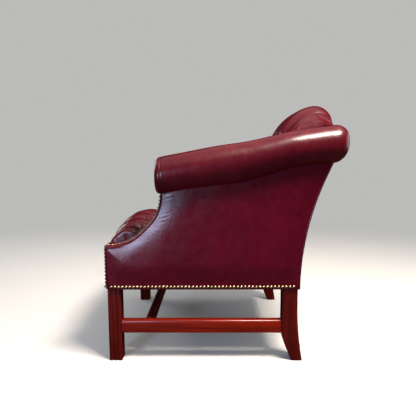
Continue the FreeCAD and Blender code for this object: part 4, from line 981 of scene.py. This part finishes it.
def roll_mesh():
    """Stuffed arm roll with the seam behind its rim, a belly, a faint pucker and fine ripples."""
    rings = roll_rings()
    turns = np.linspace(0.0, 2.0 * math.pi, 97)
    places = np.zeros((len(rings), len(turns), 3))
    seam = np.zeros((len(rings), len(turns)))
    around = hump(turns, *ROLL_PUCKER_TURN)
    below = np.maximum(-np.sin(turns), 0.0) ** 2
    for i, (y, radius) in enumerate(rings):
        full = radius / ROLL_RADIUS
        seam[i] = full * hump(y, *SEAM)
        twist = hump(y, *ROLL_TWIST) * np.sin(turns * 2.0 + y / TWIST_WAVE)
        pucker = hump(y, *ROLL_PUCKER) * around
        belly = hump(y, *ROLL_BELLY) * below
        group = hump(y, *RIPPLE) * (0.5 + 0.5 * math.sin(y / RIPPLE_GROUP))
        ripple = group * np.sin(y / RIPPLE_WAVE + RIPPLE_SWAY * np.sin(turns))
        reach = radius + full * (twist - pucker + belly + ripple) - SEAM_DEPTH * seam[i]
        places[i, :, 0] = ROLL_X + reach * np.cos(turns)
        places[i, :, 1] = y
        places[i, :, 2] = roll_height(y) + reach * np.sin(turns)
    # The seam's depth is kept as the fold attribute, so the leather paints shade along the seam.
    return closed_mesh(sheet_mesh("arm_roll", places, (0.0, 0.0, 1.0), seam))


def inside_arm_mesh():
    """Inside arm from below the seat up to the roll, a little full."""
    low = SEAT_TUCK_HEIGHT - INSIDE_ARM_TUCK
    facing = facing_line()
    climb = facing[facing[:, 1] > INSIDE_ARM_CLIMB][::-1]
    shares = np.linspace(0.0, 1.0, 60)
    runs = np.linspace(0.0, 1.0, 90)
    places = np.zeros((len(shares), len(runs), 3))
    for i, share in enumerate(shares):
        height = low + share * (ROLL_FRONT_HEIGHT - low)
        front = float(np.interp(height, climb[:, 1], climb[:, 0])) + INSIDE_ARM_FRONT_GAP
        rear = float(sweep_y(POST_FRONT, height)) + INSIDE_ARM_REAR_TUCK
        y = front + (rear - front) * runs
        z = low + share * (roll_height(y) - low)
        swing = np.sin(math.pi * np.minimum(1.0, runs * INSIDE_ARM_FRONT_SHARE))
        full = INSIDE_ARM_FULL * math.sin(math.pi * share) * swing
        places[i] = np.stack([ARM_INNER + INSIDE_ARM_LAP - full, y, z], axis=1)
    return sheet_mesh("inside_arm", places, (-1.0, 0.0, 0.0))


def arm_pieces():
    mesh = joined("arm", [roll_mesh(), inside_arm_mesh()])
    for piece in pair("arm", mesh, WORN_LEATHER, ["arm_cover", "arm_pad"]):
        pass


def facing_pieces():
    """Arm front: a thinly padded strip that follows the swoop up to the scroll."""
    line = facing_line()
    points, _ = resampled(line[line[:, 1] < ROLL_FRONT_HEIGHT - STRIP_TOP], 150)
    normal = -left_normals(points)
    inner = ARM_INNER + STRIP_INNER_LAP
    outer = HALF_FRAME - FACING_NAIL_INSET - STRIP_OUTER_LAP
    curl = np.zeros((len(points), 3))
    curl[:, 0] = ARM_INNER + STRIP_CURL_LAP
    curl[:, 1:] = points - normal * (STRIP_SINK + STRIP_CURL)
    columns = [curl]
    for share in np.linspace(0.0, 1.0, 25):
        crown = STRIP_CROWN * (1.0 - (2.0 * share - 1.0) ** 4) - STRIP_SINK
        column = np.zeros((len(points), 3))
        column[:, 0] = inner + (outer - inner) * share
        column[:, 1:] = points + normal * crown
        columns.append(column)
    mesh = sheet_mesh("facing", np.stack(columns, axis=1), (0.0, -1.0, 0.4))
    pair("facing", mesh, LEATHER, ["arm_facing", "facing_batting"])


# Outside of the body

def coons_patch(left, right, bottom, top, u, v):
    """Places inside four border lines."""
    uu, vv = np.meshgrid(u, v)
    uu, vv = uu[:, :, None], vv[:, :, None]
    corners = ((1 - uu) * (1 - vv) * left[0] + uu * (1 - vv) * right[0]
               + (1 - uu) * vv * left[-1] + uu * vv * right[-1])
    return (1 - uu) * left[:, None] + uu * right[:, None] + (1 - vv) * bottom[None] + vv * top[None] - corners


def side_patch(left, v):
    """Flat (y, z) places of the outside arm between its front edge, rear sweep, bottom and roll."""
    rear_z = RAIL_BOTTOM + (SIDE_REAR_TOP - RAIL_BOTTOM) * v
    right = np.stack([sweep_y(BACK_SWEEP + WELT_RADIUS, rear_z), rear_z], axis=1)
    u = np.linspace(0.0, 1.0, 130)
    bottom_y = left[0, 0] + (right[0, 0] - left[0, 0]) * u
    bottom = np.stack([bottom_y, np.full(len(u), RAIL_BOTTOM)], axis=1)
    top_y = left[-1, 0] + (right[-1, 0] - left[-1, 0]) * u
    top_z = roll_height(top_y) - ROLL_RADIUS + SIDE_TOP_LAP
    rear_miss = right[-1, 1] - top_z[-1]
    front_miss = left[-1, 1] - top_z[0]
    top_z = top_z + rear_miss * u ** SIDE_CORNER_POWER + front_miss * (1 - u) ** SIDE_CORNER_POWER
    return coons_patch(left, right, bottom, np.stack([top_y, top_z], axis=1), u, v)


def side_fullness(flat, front, runs):
    """How far each place of the outside arm stands out: padded, pulled in at the edges and the swoop."""
    gap = np.maximum(gap_to(flat, zip(front[:-1], front[1:])) - WRAP_RADIUS, 0.0)
    above = flat[:, :, 1] - RAIL_BOTTOM
    behind = sweep_y(BACK_SWEEP, flat[:, :, 1]) - flat[:, :, 0]
    full = PANEL_FULL * (1.0 - np.exp(-gap / PANEL_FULL_REACH))
    full = full * step(above, PANEL_FULL_LOW, PANEL_FULL_HIGH) * step(behind, 0.0, PANEL_REAR_REACH)
    fall = PANEL_FALL * np.exp(-gap / PANEL_FALL_REACH)
    tuck = PANEL_TUCK * np.exp(-np.maximum(above, 0.0) / PANEL_TUCK_REACH)
    uneven = PANEL_UNEVEN * wobble(flat[:, :, 0], flat[:, :, 1], 21)
    uneven = uneven * step(gap, PANEL_UNEVEN_EDGE, PANEL_UNEVEN_REACH)
    uneven = uneven * step(above, PANEL_FULL_LOW, PANEL_UNEVEN_REACH)
    sway = WRINKLE_SWAY * np.sin(runs / WRINKLE_SWAY_WAVE)
    drawn = np.sin(runs / WRINKLE_WAVE + sway) * (0.5 + 0.5 * np.sin(runs / WRINKLE_GROUP))
    wrinkle = hump(gap, *WRINKLE) * drawn[:, None] * step(above, *WRINKLE_RISE)
    return PANEL_LIFT + full - fall - tuck + uneven + wrinkle


def side_panel_mesh():
    """Outside arm: leather over thin padding, wrapped round the front edge to under the nails."""
    front = facing_line()
    front = front[front[:, 1] < roll_height(ARM_SETBACK) - ROLL_RADIUS + SIDE_FRONT_LAP][::-1]
    path, runs = resampled(front, 150)
    inward = -left_normals(path)
    corner = np.linalg.norm(path - np.array([-SKIN, CORNER_HEIGHT]), axis=1)
    open_share = step(corner, WRAP_CORNER_NEAR, WRAP_CORNER_FAR)
    radius = WRAP_CORNER_RADIUS + (WRAP_RADIUS - WRAP_CORNER_RADIUS) * open_share
    flat = side_patch(path + inward * radius[:, None], runs / runs[-1])
    x = HALF_BODY + side_fullness(flat, front, runs)
    panel = np.concatenate([x[:, :, None], flat], axis=2)
    under = HALF_FRAME - FACING_NAIL_INSET - WRAP_LAP
    columns = [np.column_stack([np.full(len(path), under), path])]
    for angle in np.linspace(math.pi / 2, 0.0, 8)[:-1]:
        drop = radius * (1.0 - math.sin(angle))
        wrap_x = x[:, 0] - radius * (1.0 - math.cos(angle))
        columns.append(np.column_stack([wrap_x, path + inward * drop[:, None]]))
    places = np.concatenate([np.stack(columns, axis=1), panel], axis=1)
    return sheet_mesh("side_panel", places, (1.0, 0.0, 0.0))


def side_pieces():
    pair("outside_arm", side_panel_mesh(), LEATHER, ["outside_arm", "side_batting"])


def outside_back_piece():
    """Outside back: a slightly full panel along the sweep, tucked in under the crest."""
    half = HALF_BODY - 2.0 * WELT_RADIUS
    v = np.linspace(0.0, 1.0, 100)
    columns = []
    for share in np.linspace(-1.0, 1.0, 90):
        x = half * share
        top = crest_centre(x)[1] - CREST_TUCK + BACK_PANEL_LAP
        if abs(x) > ARM_INNER:
            top = min(top, ROLL_REAR_HEIGHT - BACK_PANEL_ROLL_GAP)
        z = RAIL_BOTTOM + (top - RAIL_BOTTOM) * v
        full = BACK_PANEL_FULL * (1.0 - share ** 6) * np.sqrt(np.maximum(np.sin(math.pi * v), 0.0))
        columns.append(np.column_stack([np.full(len(v), x), sweep_y(BACK_SWEEP, z) + full, z]))
    mesh = sheet_mesh("outside_back", np.stack(columns, axis=1), (0.0, 1.0, 0.0))
    new_piece("outside_back_skin", mesh, LEATHER, ["outside_back", "back_batting"])


def tube_mesh(name, line, radius, around=12):
    """Round cord along a line of places."""
    way = np.gradient(line, axis=0)
    way /= np.linalg.norm(way, axis=1, keepdims=True)
    first = np.cross(way, np.array([1.0, 0.0, 0.0]))
    first /= np.linalg.norm(first, axis=1, keepdims=True)
    second = np.cross(way, first)
    turns = np.linspace(0.0, 2.0 * math.pi, around + 1)[None, :, None]
    places = line[:, None] + radius * (np.cos(turns) * first[:, None] + np.sin(turns) * second[:, None])
    return closed_mesh(sheet_mesh(name, places, (0.0, 0.0, 1.0)))


def welt_pieces():
    """Leather cord along the rear edge of each side."""
    z = np.linspace(RAIL_BOTTOM, ROLL_REAR_HEIGHT - WELT_TOP_GAP, 110)
    x = np.full(len(z), HALF_BODY - WELT_INSET)
    line = np.column_stack([x, sweep_y(BACK_SWEEP, z) - WELT_SINK, z])
    mesh = tube_mesh("back_welt", line, WELT_RADIUS + WELT_SKIN)
    pair("back_welt", mesh, WELT_LEATHER, ["back_welt"])


def dust_cover_piece():
    """Black cambric stapled under the frame, sagging a little."""
    half_x = HALF_FRAME - DUST_COVER_INSET
    depth = FRAME_DEPTH - 2.0 * DUST_COVER_INSET
    x = np.linspace(-half_x, half_x, 40)
    y = np.linspace(DUST_COVER_INSET, DUST_COVER_INSET + depth, 40)
    xx, yy = np.meshgrid(x, y)
    sag = np.cos(0.5 * math.pi * xx / half_x) * np.sin(math.pi * (yy - DUST_COVER_INSET) / depth)
    zz = RAIL_BOTTOM - DUST_COVER_GAP - DUST_COVER_SAG * np.maximum(sag, 0.0)
    mesh = sheet_mesh("dust_cover", np.stack([xx, yy, zz], axis=2), (0.0, 0.0, -1.0))
    piece = new_piece("dust_cover_cloth", mesh, BLACK_CLOTH, ["dust_cover"])


# Show wood

def prism_mesh(name, outline, axis, low, high, ease):
    """Solid from an outline without its doubled points, run along an axis, its sharp edges eased."""
    kept = [outline[0]]
    for point in outline[1:]:
        if math.dist(point, kept[-1]) > OUTLINE_STEP:
            kept.append(point)
    work = bmesh.new()
    others = [i for i in range(3) if i != axis]
    verts = []
    for point in kept:
        place = [0.0, 0.0, 0.0]
        place[axis] = low
        place[others[0]] = point[0]
        place[others[1]] = point[1]
        verts.append(work.verts.new(to_row(place)))
    face = work.faces.new(verts)
    grown = bmesh.ops.extrude_face_region(work, geom=[face])
    moved = [item for item in grown["geom"] if isinstance(item, bmesh.types.BMVert)]
    shift = Vector((0.0, 0.0, 0.0))
    shift[axis] = (high - low) * MM
    bmesh.ops.translate(work, verts=moved, vec=shift)
    bmesh.ops.recalc_face_normals(work, faces=work.faces)
    sharp = [edge for edge in work.edges if edge.calc_face_angle(0.0) > EASED_ANGLE]
    bmesh.ops.bevel(work, geom=sharp, offset=ease * MM, offset_type="OFFSET", segments=3, profile=0.5,
                    affect="EDGES", clamp_overlap=True, material=-1)
    mesh = finished(work, name)
    mesh.set_sharp_from_angle(angle=SHARP_ANGLE)
    return mesh


def reeded_outline():
    """Front leg from above: reeds on both outer faces, two plain inner faces."""
    reed = LEG_WIDTH / REED_COUNT
    shares = np.linspace(0.0, 1.0, 9)[:-1]
    places = [((i + share) * reed, math.sin(math.pi * share) ** REED_FULLNESS)
              for i in range(REED_COUNT) for share in shares]
    valley = HALF_FRAME - REED_DEPTH
    outline = [(valley + REED_DEPTH * rise, max(LEG_WIDTH - run, REED_DEPTH)) for run, rise in places]
    outline += [(min(HALF_FRAME - run, valley), REED_DEPTH - REED_DEPTH * rise) for run, rise in places]
    outline += [(LEG_INNER, REED_DEPTH), (LEG_INNER, LEG_WIDTH)]
    return outline


def rear_leg_outline():
    """Rear leg from the side: flared foot, straight middle and the post that sweeps up inside the back."""
    front = FRAME_DEPTH - REAR_LEG_DEPTH
    toe_front = FRAME_DEPTH + TOE_KICK - TOE_DEPTH
    outline = []
    for share in np.linspace(0.0, 1.0, 12):
        outline.append((FRAME_DEPTH + TOE_KICK * (1.0 - share) ** 2, SWEEP_START * share))
    for z in np.linspace(RAIL_BOTTOM, POST_TURN, 16):
        outline.append((float(sweep_y(POST_REAR, z)), z))
    for z in np.linspace(POST_TURN, RAIL_BOTTOM, 16):
        outline.append((float(sweep_y(POST_FRONT, z)), z))
    for share in np.linspace(1.0, 0.0, 10):
        outline.append((front + (toe_front - front) * (1.0 - share) ** TOE_CURVE, STRETCHER_BOTTOM * share))
    return outline


def leg_pieces():
    front = prism_mesh("front_leg", reeded_outline(), 2, 0.0, RAIL_TOP, LEG_EASE)
    pair("front_leg", front, WOOD_Z, ["front_leg"])
    rear = prism_mesh("rear_leg", rear_leg_outline(), 0, LEG_INNER, HALF_FRAME, REAR_LEG_EASE)
    pair("rear_leg", rear, WOOD_Z, ["rear_leg"])


def stretcher_pieces():
    """Side stretchers rounded on their outer top edge, cross stretcher on both."""
    bottom, top, ease = STRETCHER_BOTTOM, STRETCHER_TOP, STRETCHER_ROUNDING
    outer = HALF_FRAME - STRETCHER_INSET
    inner = outer - STRETCHER_THICKNESS
    corners = [(inner, bottom), (outer, bottom), (outer, top), (inner, top)]
    profile = rounded_line(corners, (0.0, 0.0, ease, 0.0), STRETCHER_TURN)
    side = prism_mesh("side_stretcher", profile, 1, LEG_WIDTH, FRAME_DEPTH - REAR_LEG_DEPTH, STRETCHER_EASE)
    pair("side_stretcher", side, WOOD_Y, ["side_stretcher"])
    front = CROSS_STRETCHER_SETBACK
    rear = front + STRETCHER_THICKNESS
    corners = [(front, bottom), (rear, bottom), (rear, top), (front, top), (front, bottom)]
    profile = rounded_line(corners, (0.0, 0.0, ease, ease, 0.0), STRETCHER_TURN)[:-1]
    cross = prism_mesh("cross_stretcher", profile, 0, -inner, inner, STRETCHER_EASE)
    new_piece("cross_stretcher_bar", cross, WOOD_X, ["cross_stretcher"])


def dress_nodes():
    """Materials of the CAD pieces that stay as they are."""
    for node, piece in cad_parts.items():
        if "nails" in node:
            material = BRASS
        elif node in ("seat_springs", "spring_clips", "corner_block_screws"):
            material = STEEL
        elif node in ("seat_burlap", "back_webbing"):
            material = JUTE
        else:
            material = SAWN
        piece.data.materials.clear()
        piece.data.materials.append(material)


# Light and camera

def area_light(name, place, target, size, power, colour):
    """Rectangular lamp that is turned toward a target."""
    data = bpy.data.lights.new(name, "AREA")
    data.shape = "RECTANGLE"
    data.size, data.size_y = size
    data.energy = power
    data.color = colour
    lamp = add_object(name, data)
    lamp.location = place
    lamp.rotation_euler = (Vector(target) - Vector(place)).to_track_quat("-Z", "Y").to_euler()


def floor():
    """Pale floor that runs into the backdrop with distance, and is dark in reflections."""
    work = bmesh.new()
    bmesh.ops.create_grid(work, x_segments=2, y_segments=2, size=FLOOR_HALF)
    mesh = finished(work, "floor")
    graph = new_graph("pale_floor")
    place = graph.place()
    seen = graph.ray("Is Camera Ray")
    pale = graph.mix(graph.noise(place, scale=1.5, detail=2.0), FLOOR_LOW, FLOOR_HIGH)
    unseen = graph.mix(graph.ray("Is Glossy Ray"), FLOOR_BOUNCE, FLOOR_MIRRORED)
    reach = graph.add("ShaderNodeVectorMath", {"operation": "LENGTH"}, {"Vector": place}, "Value")
    far = reach.between(FLOOR_FADE_NEAR, FLOOR_FADE_FAR) * seen
    colour = graph.mix(far, graph.mix(seen, unseen, pale), BLACK)
    glow = graph.mix(far, BLACK, BACKDROP)
    mesh.materials.append(graph.finish(Base_Color=colour, Roughness=0.9, Specular_IOR_Level=0.0,
                                       Emission_Color=glow, Emission_Strength=1.0))
    add_object("floor", mesh)


def surroundings():
    """Soft sky light, dim in reflections, with a plain backdrop for the camera."""
    graph = Graph(bpy.data.worlds.new("studio"))
    sky = graph.background(SKY, SKY_STRENGTH)
    lit = graph.mix_shaders(graph.ray("Is Glossy Ray"), sky, graph.background(SKY_MIRRORED))
    shown = graph.mix_shaders(graph.ray("Is Camera Ray"), lit, graph.background(BACKDROP))
    graph.feed(graph.tree.nodes["World Output"], {"Surface": shown})
    bpy.context.scene.world = graph.owner


def lights():
    """Window and overhead light, and soft light from the ceiling and two sides, in metres and watts."""
    area_light("window", place=(3.0, -1.5, 0.85), target=(0.3, -0.1, 0.5), size=(0.6, 0.8), power=52.0,
               colour=DAYLIGHT)
    area_light("ceiling", place=(0.2, 0.2, 3.4), target=(0.1, 0.1, 0.5), size=(5.0, 5.0), power=48.0,
               colour=ROOM_LIGHT)
    area_light("overhead", place=(1.0, 0.75, 2.4), target=(0.25, 0.15, 0.6), size=(0.8, 0.42), power=128.0,
               colour=WARM_LIGHT)
    area_light("fill_right", place=(-1.9, -2.6, 1.7), target=(0.0, 0.0, 0.5), size=(1.4, 1.4), power=26.0,
               colour=ROOM_LIGHT)
    area_light("fill_rear", place=(-0.6, 3.0, 1.0), target=(0.0, 0.3, 0.5), size=(2.4, 1.6), power=22.0,
               colour=ROOM_LIGHT)


def camera():
    """Camera at the photograph's angle: square to the left side, a little from above."""
    data = bpy.data.cameras.new("camera")
    data.sensor_width = SENSOR_WIDTH
    data.lens = SENSOR_WIDTH * FOCAL_PIXELS / PHOTO_PIXELS
    eye = add_object("camera", data)
    heading = Matrix.Rotation(math.pi / 2 - CAMERA_YAW, 4, "Z")
    tilt = Matrix.Rotation(math.pi / 2 - CAMERA_PITCH, 4, "X")
    roll = Matrix.Rotation(CAMERA_ROLL, 4, "Z")
    eye.matrix_world = Matrix.Translation(to_row(CAMERA_PLACE)) @ heading @ tilt @ roll
    bpy.context.scene.camera = eye


bpy.context.scene.view_settings.view_transform = "Standard"
dress_nodes()
leg_pieces()
stretcher_pieces()
side_pieces()
facing_pieces()
arm_pieces()
seat_piece()
back_piece()
outside_back_piece()
welt_pieces()
dust_cover_piece()
floor()
surroundings()
lights()
camera()
